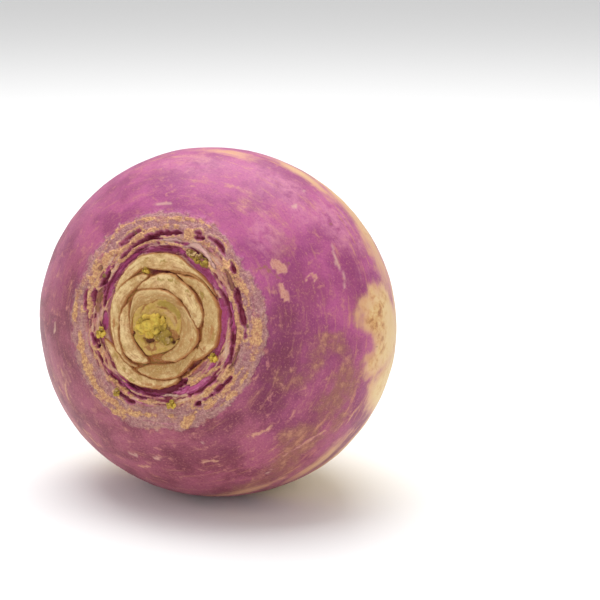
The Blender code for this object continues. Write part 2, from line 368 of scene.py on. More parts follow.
@dataclass(frozen=True)
class RootShape:
    """The plain grown shape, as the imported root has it, in millimetres."""

    girth_radius: float = 45.9
    crown_rise: float = 32.0
    crown_power: float = 2.2
    base_drop: float = 42.0
    base_power: float = 2.1
    broadening: float = 0.0675
    belly_rise: float = 0.3
    lean: float = 6.0
    lean_power: float = 1.5
    tail_root: float = 7.0
    tail_tip: float = 2.2
    tail_length: float = 15.0
    tail_taper: float = 2.2
    tail_flare: int = 6
    tail_blend: float = 2.4

    def crown_height(self, radius: np.ndarray | float) -> Any:
        """How high the smooth crown stands over the girth at a radius."""
        share = np.clip(np.asarray(radius) / self.girth_radius, 0, 1) ** self.crown_power
        return self.crown_rise * (1 - share) ** (1 / self.crown_power)

    def shoulder(self, start: float, steps: int) -> list[Spot]:
        """Points from a radius on the crown out to the girth."""
        first = math.acos((start / self.girth_radius) ** (self.crown_power / 2))
        turns = np.linspace(first, 0, steps)
        radii = self.girth_radius * np.cos(turns) ** (2 / self.crown_power)
        return list(zip(radii, self.crown_height(radii)))

    def underside(self, steps: int) -> list[Spot]:
        """Points from just behind the girth to where the tail leaves the base."""
        turns = np.linspace(0, math.pi / 2, steps + 1)[1:]
        body = self.girth_radius * np.cos(turns).clip(0) ** (2 / self.base_power)
        heights = -self.base_drop * np.sin(turns) ** (2 / self.base_power)
        tail = self.tail_root * (-heights / self.base_drop) ** self.tail_flare
        radii = (body**self.tail_blend + tail**self.tail_blend) ** (1 / self.tail_blend)
        return list(zip(radii, heights))

    def tail(self, steps: int) -> list[Spot]:
        """Points down the tap root to its cut tip, and in to the axis."""
        shares = np.linspace(0, 1, steps + 1)[1:]
        radii = self.tail_tip + (self.tail_root - self.tail_tip) * (1 - shares) ** self.tail_taper
        heights = -self.base_drop - self.tail_length * shares
        tip = float(heights[-1])
        return [*zip(radii, heights), (self.tail_tip * 0.6, tip - 0.1), (0.0, tip - 0.1)]

    def lopsided(self, points: np.ndarray) -> np.ndarray:
        """Broadens the girth across X and sags the base to -Y, as an uneven root grows."""
        x, y, z = points.T
        reach = np.hypot(x, y) / self.girth_radius
        rise = self.belly_rise * (1 - (z.clip(0) / self.crown_rise) ** 2)
        sag = self.lean * ((-z).clip(0) / self.base_drop) ** self.lean_power
        return np.column_stack((x * (1 + self.broadening * reach**2), y + rise - sag, z))


class Axes:
    """The turnip's axes as they lie in the frame."""

    crown_tilt: float = math.radians(14)

    def __init__(self, shape: RootShape) -> None:
        """Finds where the plain shape's middle across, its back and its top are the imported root's."""
        self.turn = np.array(Matrix.Rotation(math.pi / 2 - self.crown_tilt, 3, "X"))
        self.origin = np.zeros(3)
        rings = np.array([*shape.shoulder(25.0, 40), *shape.underside(60), *shape.tail(12)[:-2]])
        around = np.linspace(0, 2 * math.pi, 360, endpoint=False)
        radius, angle = rings[:, 0, None], around[None, :]
        height = np.broadcast_to(rings[:, 1, None], (len(rings), len(around)))
        ring_points = (radius * np.cos(angle), radius * np.sin(angle), height)
        plain = self.into_frame(shape.lopsided(np.stack([axis.ravel() for axis in ring_points], axis=1)))
        low, high = (np.array(corner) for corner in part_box("root"))
        middle = (low[0] + high[0]) / 2 - (plain[:, 0].min() + plain[:, 0].max()) / 2
        self.origin = np.array((middle, high[1] - plain[:, 1].max(), high[2] - plain[:, 2].max()))
        log.info("axes start at %s", np.round(self.origin / MM, 3))

    def into_frame(self, points: np.ndarray) -> np.ndarray:
        """Carries points from millimetres on the turnip's axes to metres in the frame."""
        return points @ self.turn.T * MM + self.origin

    def pressed(self, points: np.ndarray, softness: float = 0.3) -> np.ndarray:
        """Flattens what would go below the floor, easing into the flat over softness millimetres."""
        laid = self.into_frame(points)
        low = laid[:, 2] / MM
        laid[:, 2] = (low + np.sqrt(low**2 + softness**2)) / 2 * MM
        return (laid - self.origin) @ self.turn / MM


@dataclass(frozen=True)
class Rosette:
    """Where the leaf bases stand: their middle lies a little off the axis, and they lean as they go down."""

    middle: Spot = (0.9, 0.3)
    turn: float = math.radians(6.2)
    cut_level: float = 30.0
    lean: float = 0.53

    def to_axes(self, spots: np.ndarray, heights: np.ndarray) -> np.ndarray:
        """Carries (x, y) in the rosette and heights to points on the turnip's axes."""
        c, s = math.cos(self.turn), math.sin(self.turn)
        x, y = spots.T
        return np.column_stack((self.middle[0] + c * x - s * y, self.middle[1] + s * x + c * y, heights))

    def from_axes(self, points: np.ndarray) -> np.ndarray:
        """Carries points on the turnip's axes to (x, y) in the rosette, as seen at the level of the cuts."""
        c, s = math.cos(self.turn), math.sin(self.turn)
        x, y = points[:, 0] - self.middle[0], points[:, 1] - self.middle[1]
        drift = self.lean * (self.cut_level - points[:, 2])
        return np.column_stack((c * x + s * y + drift, c * y - s * x))


# ---------------------------------------------------------------- the furrowed crown


class Tissue(Enum):
    """What a stroke is made of: (height in mm, the value that it notes)."""

    FURROW = (-0.9, "dark")
    CLEFT = (-1.3, "dark")
    PIT = (-1.7, "dark")
    NOTCH = (-0.6, "dark")
    MOAT = (-0.5, "vivid")
    BLUSH = (0.2, "vivid")
    RIDGE = (0.35, "tan")
    SCALE = (0.6, "tan")
    SCAR = (0.1, "scar")
    COLLAR = (0.3, "collar")
    PALE = (0.3, "pale")
    SCRATCH = (-0.05, "pale")
    OLIVE = (-0.1, "olive")
    BARK = (0.25, "bark")
    SPECK = (0.05, "bark")
    FOLD = (-0.25, "bark")


@dataclass(frozen=True)
class Stroke:
    """A furrow, ridge or fold that runs through given places."""

    tissue: Tissue
    width: float
    places: tuple[Spot, ...]
    fray: float = 0.4
    far: float = 9.0

    def gap(self, spots: np.ndarray, wander: np.ndarray) -> np.ndarray:
        """How far each spot lies outside the stroke's frayed edge, in mm: less than nothing within it.

        Args:
            spots: Flat places, one a row.
            wander: Random values from -1 to 1 that fray the stroke's edges.

        Returns:
            One distance a spot, and far wherever it is more than 3 mm off.
        """
        path = through(self.places, 6 * len(self.places))
        reach = self.width / 2 + 3
        near = np.all((spots > path.min(0) - reach) & (spots < path.max(0) + reach), axis=1)
        gap = np.full(len(spots), self.far)
        if not near.any():
            return gap
        start, leg = path[:-1], np.diff(path, axis=0)
        offset = spots[near, None, :] - start[None]
        share = np.clip((offset * leg).sum(2) / (leg**2).sum(1), 0, 1)
        gaps = np.hypot(*np.moveaxis(offset - share[..., None] * leg, 2, 0))
        closest = gaps.argmin(1)
        rows = np.arange(len(closest))
        along = (closest + share[rows, closest]) / len(leg)
        half = self.width / 2 * (4 * along * (1 - along)).clip(0.01) ** 0.5
        gap[near] = gaps[rows, closest] - half + self.fray * wander[near]
        return gap


class Relief:
    """Heights and tissues that build up over a surface as strokes are laid on it."""

    edge: float = 0.35
    cut_edge: float = 0.7
    lip_height: float = 0.45

    def __init__(self, spots: np.ndarray, wander: np.ndarray) -> None:
        """Starts level and bare."""
        self.spots = spots
        self.wander = wander
        self.height = np.zeros(len(spots))
        self.notes = {name: np.zeros(len(spots)) for name in sorted({tissue.value[1] for tissue in Tissue})}

    def lay(
        self, strokes: Iterable[Stroke], lips: np.ndarray | float = 0.0, strength: np.ndarray | float = 1.0
    ) -> None:
        """Lays strokes over what is there.

        Args:
            strokes: The strokes, the lowest first.
            lips: How far a dry lip and a fleshy edge stand along each cut, from 0 to 1.
            strength: How strongly they cover, from 0 to 1.
        """
        for stroke in strokes:
            gap = stroke.gap(self.spots, self.wander)
            rise, name = stroke.tissue.value
            cover = smooth_step(0.5 - gap / (self.cut_edge if name == "dark" else self.edge)) * strength
            self.height += rise * cover
            for other, values in self.notes.items():
                self.notes[other] = np.maximum(values, cover) if other == name else values * (1 - cover)
            if name == "dark":
                lip = lips * smooth_step(1 - np.abs(gap - self.cut_edge) / 0.5)
                self.height += self.lip_height * lip
                self.notes["tan"] = np.maximum(self.notes["tan"], lip)
                flesh = smooth_step(1.1 - gap / 0.6) * (np.asarray(lips) > 0)
                self.notes["vivid"] = np.maximum(self.notes["vivid"], 0.75 * flesh * (1 - 0.8 * lip))


STROKES = (
    # The moat under the oldest standing stalk, and the thin skins outside it
    Stroke(Tissue.FURROW, 1.0, ((-16.6, 3.8), (-15.4, 7.8), (-13, 11.6), (-9, 15.6), (-5, 18.6))),
    Stroke(Tissue.MOAT, 1.5, ((-15.8, 5), (-14.2, 9), (-11.6, 13.6), (-8.6, 16.2), (-5.4, 17.6))),
    Stroke(Tissue.MOAT, 1.9, ((-7, 17.0), (-3, 17.9), (0, 17.9), (3, 17.7), (6.6, 16.4))),
    Stroke(Tissue.FURROW, 0.7, ((-5, 18.6), (-3, 18.9), (0, 18.3), (3, 18.1), (5, 17.9))),
    Stroke(Tissue.FURROW, 1.0, ((-4.5, 20.7), (-2, 21.6), (0.6, 21.8), (3, 21.9), (5.4, 21.8)), 0.6),
    Stroke(Tissue.FURROW, 0.6, ((-11.5, 16), (-8.5, 18.6), (-4, 20.4), (0, 20.6)), 0.5),
    Stroke(Tissue.PALE, 0.8, ((-4, 19.4), (-0.6, 20.0), (3.2, 20.2), (6.4, 19.4)), 0.6),
    Stroke(Tissue.PALE, 0.5, ((-6.4, 17.9), (-2.6, 18.9), (1.4, 19.2)), 0.5),
    Stroke(Tissue.RIDGE, 1.0, ((-14.5, 14), (-13, 16.2), (-10, 18.7), (-7, 20.7), (-4.5, 22.3))),
    Stroke(Tissue.RIDGE, 0.7, ((-13.3, 13.6), (-10.5, 15.8), (-7.5, 18.1), (-4, 19.7), (2, 19.8))),
    # Left of the rosette
    Stroke(Tissue.CLEFT, 1.2, ((-17.8, 8.8), (-16.6, 10.2), (-15.4, 11.8), (-15, 12.7))),
    Stroke(Tissue.OLIVE, 0.9, ((-17.0, 11), (-16.2, 12.2))),
    Stroke(Tissue.FURROW, 0.6, ((-19.4, 4), (-19.2, 6.5), (-18.9, 8.2))),
    Stroke(Tissue.FURROW, 0.5, ((-21.9, 3.2), (-21.8, 5.5), (-21.2, 8))),
    Stroke(Tissue.FURROW, 0.7, ((-20, -3), (-19.6, -4.5), (-19.2, -6))),
    Stroke(Tissue.CLEFT, 0.9, ((-18.3, -6), (-17.8, -6.7))),
    Stroke(Tissue.BARK, 0.8, ((-17.9, 3.5), (-17.7, 6), (-17.0, 8.5))),
    Stroke(Tissue.MOAT, 1.0, ((-16.5, -3), (-16.4, -0.5), (-16.3, 2.5))),
    # In the cork ring, upper left
    Stroke(Tissue.FURROW, 0.4, ((-11.8, 19.3), (-10, 20.6), (-8, 21.9), (-6.3, 22.7))),
    Stroke(Tissue.OLIVE, 0.7, ((-8.1, 21.8), (-7.4, 22.3))),
    Stroke(Tissue.BARK, 1.2, ((-17.6, 12.9), (-16.8, 13.8))),
    # Below and left
    Stroke(Tissue.FURROW, 0.5, ((-18.3, -7.5), (-17.5, -9.2), (-16.8, -10.4))),
    Stroke(Tissue.FURROW, 1.0, ((-16.3, -11.2), (-15, -13), (-13.2, -14.8), (-11, -16.4)), 0.6),
    Stroke(Tissue.FURROW, 0.7, ((-11.6, -16.6), (-7.6, -18.6), (-4.5, -19.3)), 0.6),
    # A deep pit just outside stalk 6's outer edge: a real dip, and its dark colour paints the shadow that
    # stalk 6 casts there.
    Stroke(Tissue.PIT, 1.9, ((-10.5, -14.9), (-6.5, -16.7), (-2, -17.2), (2.5, -16.4), (6.6, -14.6)), 0.6),
    Stroke(Tissue.FURROW, 0.5, ((-13.2, -17.5), (-12, -18), (-10, -19.6), (-8, -20.5))),
    Stroke(Tissue.RIDGE, 0.5, ((-15.5, -13.6), (-12.5, -16), (-8.5, -18.6), (-5, -20))),
    # Below and right
    Stroke(Tissue.FURROW, 1.0, ((7.2, -18), (9.6, -17.2), (12, -15.2), (14, -13.8), (15.4, -13.1)), 0.7),
    Stroke(Tissue.MOAT, 1.2, ((-14.4, -12.4), (-11.6, -15.2), (-7.6, -17.1), (-3, -17.9), (2, -17.6))),
    Stroke(Tissue.MOAT, 1.8, ((2.4, -17.9), (6.5, -16.9), (10, -15.4), (13, -12.6))),
    Stroke(Tissue.PALE, 0.9, ((-1, -18), (1.5, -18.3), (4, -18.4))),
    Stroke(Tissue.CLEFT, 0.9, ((9, -20.6), (9.8, -20.2), (10.4, -19.7)), 0.6),
    Stroke(Tissue.FURROW, 0.6, ((11, -19.3), (12.2, -18.8), (13.4, -18)), 0.6),
    Stroke(Tissue.FURROW, 0.5, ((13.6, -17.7), (15, -16.7), (16.4, -15.6)), 0.6),
    Stroke(Tissue.FURROW, 0.5, ((16.9, -15.2), (17.8, -14.4), (18.6, -13.6))),
    Stroke(Tissue.CLEFT, 0.9, ((3, -14.3), (6.3, -12.4), (9, -10.2), (12.5, -8.2))),
    Stroke(Tissue.RIDGE, 0.8, ((7.5, -15.8), (10.5, -14), (13, -12.4), (15.5, -11), (16.6, -9.8))),
    # Right of the rosette
    Stroke(Tissue.FURROW, 0.9, ((15.4, 8), (16.8, 5.4), (18.3, 1.5), (19.3, -2), (18.6, -7), (18.1, -10.2))),
    Stroke(Tissue.FURROW, 1.0, ((19.8, 7.8), (20.8, 4), (21.5, 0.6), (22.2, -2), (22.2, -4.2)), 0.7),
    Stroke(Tissue.BARK, 0.8, ((20.6, -5.6), (19.8, -8.4), (18.4, -11.4))),
    Stroke(Tissue.OLIVE, 0.9, ((22.6, -0.6), (22.9, -1.8))),
    Stroke(Tissue.MOAT, 2.2, ((15.6, 5.4), (16.4, 2), (16.2, -2), (15.4, -6), (13.8, -9.6))),
    Stroke(Tissue.BLUSH, 1.2, ((18.4, 4.6), (19.0, 1), (19.2, -3))),
    Stroke(Tissue.COLLAR, 0.9, ((17.6, 0.6), (17.5, -3), (17.1, -6), (16.2, -9))),
    # Upper right
    Stroke(Tissue.FURROW, 0.5, ((9.1, 20.6), (11.3, 20.4))),
    Stroke(Tissue.FURROW, 0.4, ((9.2, 21.8), (10.5, 21.6))),
    Stroke(Tissue.FURROW, 0.4, ((12.5, 20.5), (14.5, 19.4), (15.9, 18), (16.9, 15.8))),
    Stroke(Tissue.MOAT, 2.0, ((5.5, 16.6), (8, 15.0), (10.6, 12.9), (13.2, 10.2), (15, 7.6))),
    Stroke(Tissue.BARK, 2.2, ((6.6, 16.6), (9.4, 15.2), (11.8, 13.2)), 0.6),
    Stroke(Tissue.CLEFT, 0.5, ((9.2, 16.6), (11.2, 15.6), (12.4, 13.9))),
    Stroke(Tissue.PALE, 1.2, ((5.5, 18.3), (8.5, 18.6), (11, 17.3), (13, 15), (14.3, 12.8))),
    Stroke(Tissue.SCALE, 2.9, ((7.0, 19.8), (7.2, 21.2), (7.1, 22.7)), 0.25),
    Stroke(Tissue.SCALE, 1.2, ((16.2, 15.5), (17.2, 13.6), (17.8, 11.8))),
    Stroke(Tissue.BARK, 1.3, ((17.2, 12.4), (18.3, 9.8), (19, 7.4))),
    Stroke(Tissue.SCALE, 0.9, ((19.2, 10.6), (20, 8.2))),
    Stroke(Tissue.CLEFT, 0.3, ((18.6, 14.2), (19.6, 11.6))),
    Stroke(Tissue.RIDGE, 0.9, ((19.6, 3.6), (20.2, 0.6), (20.4, -3), (19.9, -7.5))),
    # Between the leaf bases
    Stroke(Tissue.CLEFT, 1.5, ((-3.8, 12.4), (-1, 12.8), (3.2, 12.4)), 0.6),
    Stroke(Tissue.CLEFT, 1.0, ((-12.6, -8.6), (-11.2, -10.2), (-8.6, -11.6))),
    Stroke(Tissue.PIT, 0.9, ((10.2, -8.8), (9.2, -10.2), (7.8, -11.6))),
)


@dataclass(frozen=True)
class Arc:
    """A ridge that runs round the cork ring, through places in degrees and mm from the ring's middle."""

    tissue: Tissue
    width: float
    places: tuple[Spot, ...]
    broadening: float = 1.15
    fray: float = 0.9

    def stroke(self, middle: Spot) -> Stroke:
        """Draws the ridge in the rosette's own places."""
        degrees, radius = np.array(self.places, float).T
        turn = np.radians(degrees)
        spots = np.column_stack((radius * np.cos(turn), radius * np.sin(turn))) + middle
        return Stroke(self.tissue, self.broadening * self.width, tuple(map(tuple, spots)), self.fray)


ARCS = (
    # The outer ridge, in lengths
    Arc(
        Tissue.RIDGE,
        1.4,
        ((-178, 24), (-165, 24), (-150, 24.4), (-135, 25), (-120, 25), (-108, 24.6), (-84, 24)),
    ),
    Arc(Tissue.RIDGE, 0.9, ((-134, 26.5), (-124, 26.8), (-112, 26.3))),
    Arc(Tissue.RIDGE, 2.3, ((-80, 26.6), (-75, 26), (-70, 24.8))),
    Arc(Tissue.RIDGE, 1.2, ((-72, 24.5), (-60, 24.3), (-48, 24), (-36, 24), (-26, 24.4))),
    Arc(Tissue.RIDGE, 1.3, ((-54, 26.2), (-40, 26), (-28, 25.8))),
    Arc(Tissue.RIDGE, 2.6, ((-24, 25.4), (-12, 25.2), (-2, 24.9), (5, 24.5))),
    Arc(Tissue.RIDGE, 1.2, ((2, 24.2), (14, 23.2), (26, 22.4), (38, 21.6))),
    Arc(
        Tissue.RIDGE,
        1.2,
        ((60, 26.1), (72, 26), (84, 25.3), (96, 25.2), (108, 25.8), (120, 25.5), (144, 24)),
    ),
    Arc(Tissue.RIDGE, 1.1, ((181, 24.9), (170, 25), (160, 24.4), (150, 24))),
    # The inner ridges, over the furrows
    Arc(Tissue.RIDGE, 2.2, ((157, 22), (146, 22.6), (136, 22.4), (125, 21.7))),
    Arc(Tissue.RIDGE, 1.0, ((128, 21.6), (116, 21), (106, 21.7), (96, 22.7), (86, 23.2), (77, 24))),
    Arc(Tissue.RIDGE, 1.3, ((181, 21), (170, 20.4), (160, 20.7))),
    Arc(
        Tissue.RIDGE,
        0.9,
        ((-88, 21.2), (-102, 20.7), (-118, 20.9), (-134, 21.2), (-148, 20.9), (-160, 21.3)),
    ),
    Arc(Tissue.RIDGE, 0.8, ((-110, 18.9), (-124, 19.3), (-138, 19), (-150, 19))),
    Arc(Tissue.RIDGE, 1.8, ((-31, 22.4), (-42, 21.5), (-53, 21.2))),
    Arc(Tissue.RIDGE, 1.3, ((22, 19.8), (8, 19.8), (-6, 20.6), (-18, 21.2))),
    Arc(Tissue.RIDGE, 1.7, ((62, 21.6), (55, 22), (47, 21.4))),
    Arc(Tissue.BARK, 0.8, ((58, 20.9), (51, 21.3))),
    Arc(Tissue.BARK, 1.6, ((178, 18.9), (167, 19), (158, 18.6))),
    Arc(Tissue.SCALE, 1.7, ((42, 19.4), (35, 21.4), (31, 23.2))),
    Arc(Tissue.BARK, 1.0, ((8, 19.4), (-3, 20))),
)


@dataclass(frozen=True)
class Crown:
    """The furrowed crown: a floor for the leaf bases, collars of old leaf scars, and the cork ring."""

    rosette: Rosette
    floor: float = 28.8
    floor_radius: float = 14.6
    rim_radius: float = 28.4
    ring_middle: Spot = (0.2, 0.3)
    ring_start: float = 20.6
    comb_reach: float = 24.0
    strokes_start: float = 12.8
    collars_start: float = 15.2
    floor_edge: float = 15.6
    ring_edge: tuple[Spot, ...] = (
        (-165, 26.0), (-140, 26.8), (-115, 27.6), (-90, 27.6), (-75, 28.2), (-50, 27.4),
        (-30, 27.4), (-10, 28.0), (10, 27.4), (28, 25.6), (45, 25.4), (60, 26.8),
        (90, 27.0), (120, 26.8), (150, 25.2), (175, 26.0),
    )
    rises: tuple[Spot, ...] = (
        (16.6, -1.7), (18.0, -0.9), (19.6, -0.35), (22.3, 0.0), (25.0, 0.3), (28.4, 0.0),
    )

    def outline(self, shape: RootShape, step: float = 0.27) -> list[Spot]:
        """Points from the middle of the floor out to the edge of the crown."""
        radii = np.arange(self.floor_radius, self.rim_radius - step / 2, step)
        known = [(self.floor_radius, self.floor - float(shape.crown_height(self.floor_radius))), *self.rises]
        rise = np.interp(radii, *zip(*known))
        inner = np.linspace(0, self.floor_radius, 24)[:-1]
        return [*((radius, self.floor) for radius in inner), *zip(radii, shape.crown_height(radii) + rise)]

    def tissues(self, points: np.ndarray) -> Relief:
        """Works out the crown's relief and what covers it, at points on the turnip's axes."""
        spots = self.rosette.from_axes(points)
        radius = np.hypot(*spots.T)
        relief = Relief(spots, Grain(0.9, 3).rough(points, 3) + 0.7 * Grain(2.4, 4).at(points))
        off_middle = spots - self.ring_middle
        waves, ragged = 0.5 * Grain(9, 5).at(points), 0.4 * Grain(2, 6).rough(points, 2)
        onto_ring = np.hypot(*off_middle.T) + waves + ragged
        edge = np.interp(np.degrees(np.arctan2(*off_middle.T[::-1])), *zip(*self.ring_edge), period=360)
        along = np.column_stack((onto_ring, 0.16 * spots))
        lines, fine_lines = Grain(0.9, 31).rough(along, 2), Grain(0.5, 32).rough(along, 2)
        patches = smooth_step(0.6 + 1.3 * Grain(2.6, 12).rough(points, 3))
        crumbs = Grain(0.75, 21).rough(points, 2)
        ridges, valleys = smooth_step((lines - 0.05) / 0.3), smooth_step((-0.12 - lines) / 0.25)
        outer = smooth_step((edge - onto_ring) / 1.8 + 0.4 + 0.6 * Grain(0.9, 9).rough(points))
        ring = outer * smooth_step((onto_ring - self.ring_start) / 1.8)
        inside_ring = 1 - smooth_step((onto_ring - self.ring_start - 0.6) / 1.6)
        collars = inside_ring * smooth_step((radius - self.collars_start) / 1.2)
        notes = relief.notes
        notes["cork"] = ring
        notes["collar"] = collars
        notes["tan"] = np.maximum(collars, 0.3 * ring) * ridges * (0.2 + 0.8 * patches)
        notes["vivid"] = np.maximum(0.8 * collars, 0.35 * ring) * valleys
        notes["dark"] = collars * smooth_step((-0.16 - fine_lines) / 0.25) * 0.8
        notes["pale"] = np.maximum(collars, 0.4 * ring) * smooth_step((fine_lines - 0.16) / 0.2) * 0.7
        cork_height = ring * (0.1 + 0.22 * crumbs + 0.3 * lines)
        relief.height += cork_height + collars * 0.65 * lines - 0.6 * notes["dark"]
        relief.lay((arc.stroke(self.ring_middle) for arc in ARCS), strength=0.35 + 0.65 * patches)
        relief.height += 0.25 * notes["tan"] * crumbs
        relief.lay(STROKES, lips=patches)
        for name, values in notes.items():
            if name != "dark":
                notes[name] = values * smooth_step((radius - self.strokes_start) / 0.8)
        notes["floor"] = smooth_step(self.floor_edge - radius)
        notes["combed"] = np.column_stack((self.comb_reach * spots / radius.clip(1)[:, None], 0.6 * radius))
        return relief


# ---------------------------------------------------------------- the skin


@dataclass(frozen=True)
class Patch:
    """A patch of other colour on the skin: its middle and half sizes, in degrees round and up the root."""

    note: str
    longitude: float
    latitude: float
    half_across: float
    half_along: float
    strength: float = 1.0
    ragged: float = 0.35

    def cover(self, longitude: np.ndarray, latitude: np.ndarray, wander: np.ndarray) -> np.ndarray:
        """How much of each place the patch covers, from 0 to 1."""
        across = (longitude - self.longitude + 180) % 360 - 180
        across = across * np.cos(np.radians(latitude)) / self.half_across
        along = (latitude - self.latitude) / self.half_along
        return self.strength * smooth_step((1.35 - np.hypot(across, along) + self.ragged * wander) / 1.2)


PATCHES = (
    Patch("cream", 8, 3, 10, 11, 0.9, 0.9),
    Patch("cream", 0, -1, 13, 12, 0.9, 0.9),
    Patch("cream", -13, -7, 15, 12, 1.0, 0.8),
    Patch("cream", -24, -13, 15, 8, 0.6, 0.8),
    Patch("rust", 6, 7, 12, 6, 1.0, 1.2),
    Patch("cream", 42, -4, 34, 8, 0.65),
    Patch("cream", 60, 4, 16, 5, 0.6),
    Patch("cream", 84, 12, 16, 4, 0.4),
    Patch("bloom", 46, 36, 9, 6, 0.9, 1.0),
    Patch("tawny", 38, 34, 9, 5, 0.5, 1.2),
    Patch("bloom", 41, 11, 13, 9, 1.0, 0.7),
    Patch("bloom", 58, 18, 16, 9, 0.8, 0.8),
    Patch("bloom", 92, 22, 20, 7, 0.6, 0.9),
    Patch("cream", 118, 5, 30, 6, 0.35),
    Patch("cream", -42, 2, 16, 5, 0.5),
    Patch("cream", -66, 9, 16, 3, 0.4),
    # The wine patches from -8 to -78 degrees round and 34 to 40 up lie along the cork ring's right, lower
    # right and bottom: partly the skin's colour, partly painted shade beside the raised ring.
    Patch("wine", -8, 37, 30, 10, 1.0, 0.8),
    Patch("wine", 20, 34, 16, 12, 0.6, 0.9),
    Patch("wine", -28, 37, 13, 6, 1.0, 0.6),
    Patch("wine", -50, 40, 14, 4, 0.7, 0.6),
    Patch("wine", -24, 20, 16, 8, 0.6, 1.0),
    Patch("wine", -78, 34, 24, 7, 0.6, 1.0),
    Patch("wine", 22, 14, 14, 9, 0.5, 0.9),
    Patch("scar", 27, 41, 8, 3, 0.3, 1.5),
    Patch("tawny", -9, 27, 12, 8, 0.8, 1.3),
    Patch("tawny", -14, 18, 17, 9, 0.9, 1.2),
    Patch("tawny", -41, 18, 13, 7, 1.0, 1.0),
    Patch("tawny", -27, 11, 9, 4, 0.9, 1.0),
    Patch("tawny", -58, 12, 20, 4, 0.8, 1.0),
    Patch("tawny", 9, 12, 8, 6, 0.6, 1.2),
    Patch("scar", -140, 28, 20, 9, 0.35, 1.4),
    Patch("scar", 66, 30, 12, 6, 0.35, 1.5),
    Patch("scar", 96, 18, 16, 4, 0.35, 1.4),
    Patch("cork", 149, 46, 2.8, 2.6, 0.8, 0.6),
    Patch("film", 150, 28, 26, 6, 0.2, 0.9),
    Patch("film", -160, 20, 20, 10, 0.12, 1.2),
    Patch("wine", 176, 40, 20, 9, 0.4, 1.0),
    Patch("wine", -153, 41, 20, 9, 0.4, 1.0),
)


@dataclass(frozen=True)
class Mark:
    """A scratch, scar or speck on the skin, through places given as longitude and latitude in degrees."""

    tissue: Tissue
    width: float
    places: tuple[Spot, ...]

    def stroke(self) -> Stroke:
        """Draws the mark on the flat map that unrolled makes."""
        places = unrolled(*np.array(self.places).T)
        return Stroke(self.tissue, self.width, tuple(map(tuple, places)), 0.2 + 0.3 * self.width)


def unrolled(longitude: np.ndarray, latitude: np.ndarray) -> np.ndarray:
    """Lays places on the skin out flat round the crown, in millimetres along the skin."""
    out, angle = np.radians(90 - latitude) * SKIN_RADIUS, np.radians(longitude)
    return np.column_stack((out * np.cos(angle), out * np.sin(angle)))


MARKS = (
    Mark(Tissue.SCRATCH, 0.5, ((32, 18), (26, 19), (21, 18), (16, 19))),
    Mark(Tissue.SCAR, 3.6, ((34, 38), (31, 37), (27, 35))),
    Mark(Tissue.SPECK, 0.5, ((34, 46), (33, 42), (33, 39))),
    Mark(Tissue.SPECK, 1.1, ((35, 40), (32, 40), (28, 39), (24, 37))),
    Mark(Tissue.SPECK, 0.9, ((34, 36), (31, 34), (28, 34))),
    Mark(Tissue.SCAR, 1.8, ((24, 39), (20, 38), (14, 37))),
    Mark(Tissue.SCAR, 0.8, ((20, 28), (22, 30), (24, 28), (22, 27), (20, 28))),
    Mark(Tissue.SPECK, 0.9, ((22, 29), (23, 28))),
    Mark(Tissue.SCRATCH, 1.3, ((50, 22), (49, 21))),
    Mark(Tissue.SCRATCH, 1.1, ((54, 14), (53, 13))),
    Mark(Tissue.SPECK, 1.6, ((39, 15), (38, 14))),
    Mark(Tissue.SPECK, 0.8, ((92, 40), (92, 39))),
    Mark(Tissue.SCRATCH, 0.7, ((105, 41), (99, 41), (94, 41))),
    Mark(Tissue.SCRATCH, 1.0, ((125, 44), (124, 43))),
    Mark(Tissue.SCAR, 0.9, ((-48, 33), (-42, 31), (-37, 30))),
    Mark(Tissue.SCRATCH, 0.8, ((-55, 16), (-52, 17))),
    Mark(Tissue.SCRATCH, 0.8, ((-106, 31), (-103, 31), (-101, 32))),
    Mark(Tissue.SCRATCH, 0.8, ((-94, 32), (-91, 33), (-87, 33))),
    Mark(Tissue.SCAR, 0.8, ((-102, 26), (-99, 27), (-96, 28))),
    Mark(Tissue.SCAR, 0.8, ((-72, 31), (-69, 31), (-65, 30))),
    Mark(Tissue.SCRATCH, 1.4, ((-67, 39), (-66, 38))),
    Mark(Tissue.SCRATCH, 0.8, ((-174, 35), (-172, 35), (-169, 34))),
    Mark(Tissue.SCAR, 0.9, ((-45, 19), (-39, 18), (-30, 14))),
    Mark(Tissue.SCAR, 0.8, ((-27, 7), (-23, 7), (-20, 6))),
    Mark(Tissue.SCAR, 0.9, ((-141, 29), (-145, 31), (-148, 34))),
    Mark(Tissue.SCAR, 0.8, ((-134, 25), (-127, 24), (-121, 23))),
    Mark(Tissue.SPECK, 1.2, ((-1, 7), (-1, 6))),
    Mark(Tissue.SPECK, 1.0, ((-13, 12), (-13, 11))),
)


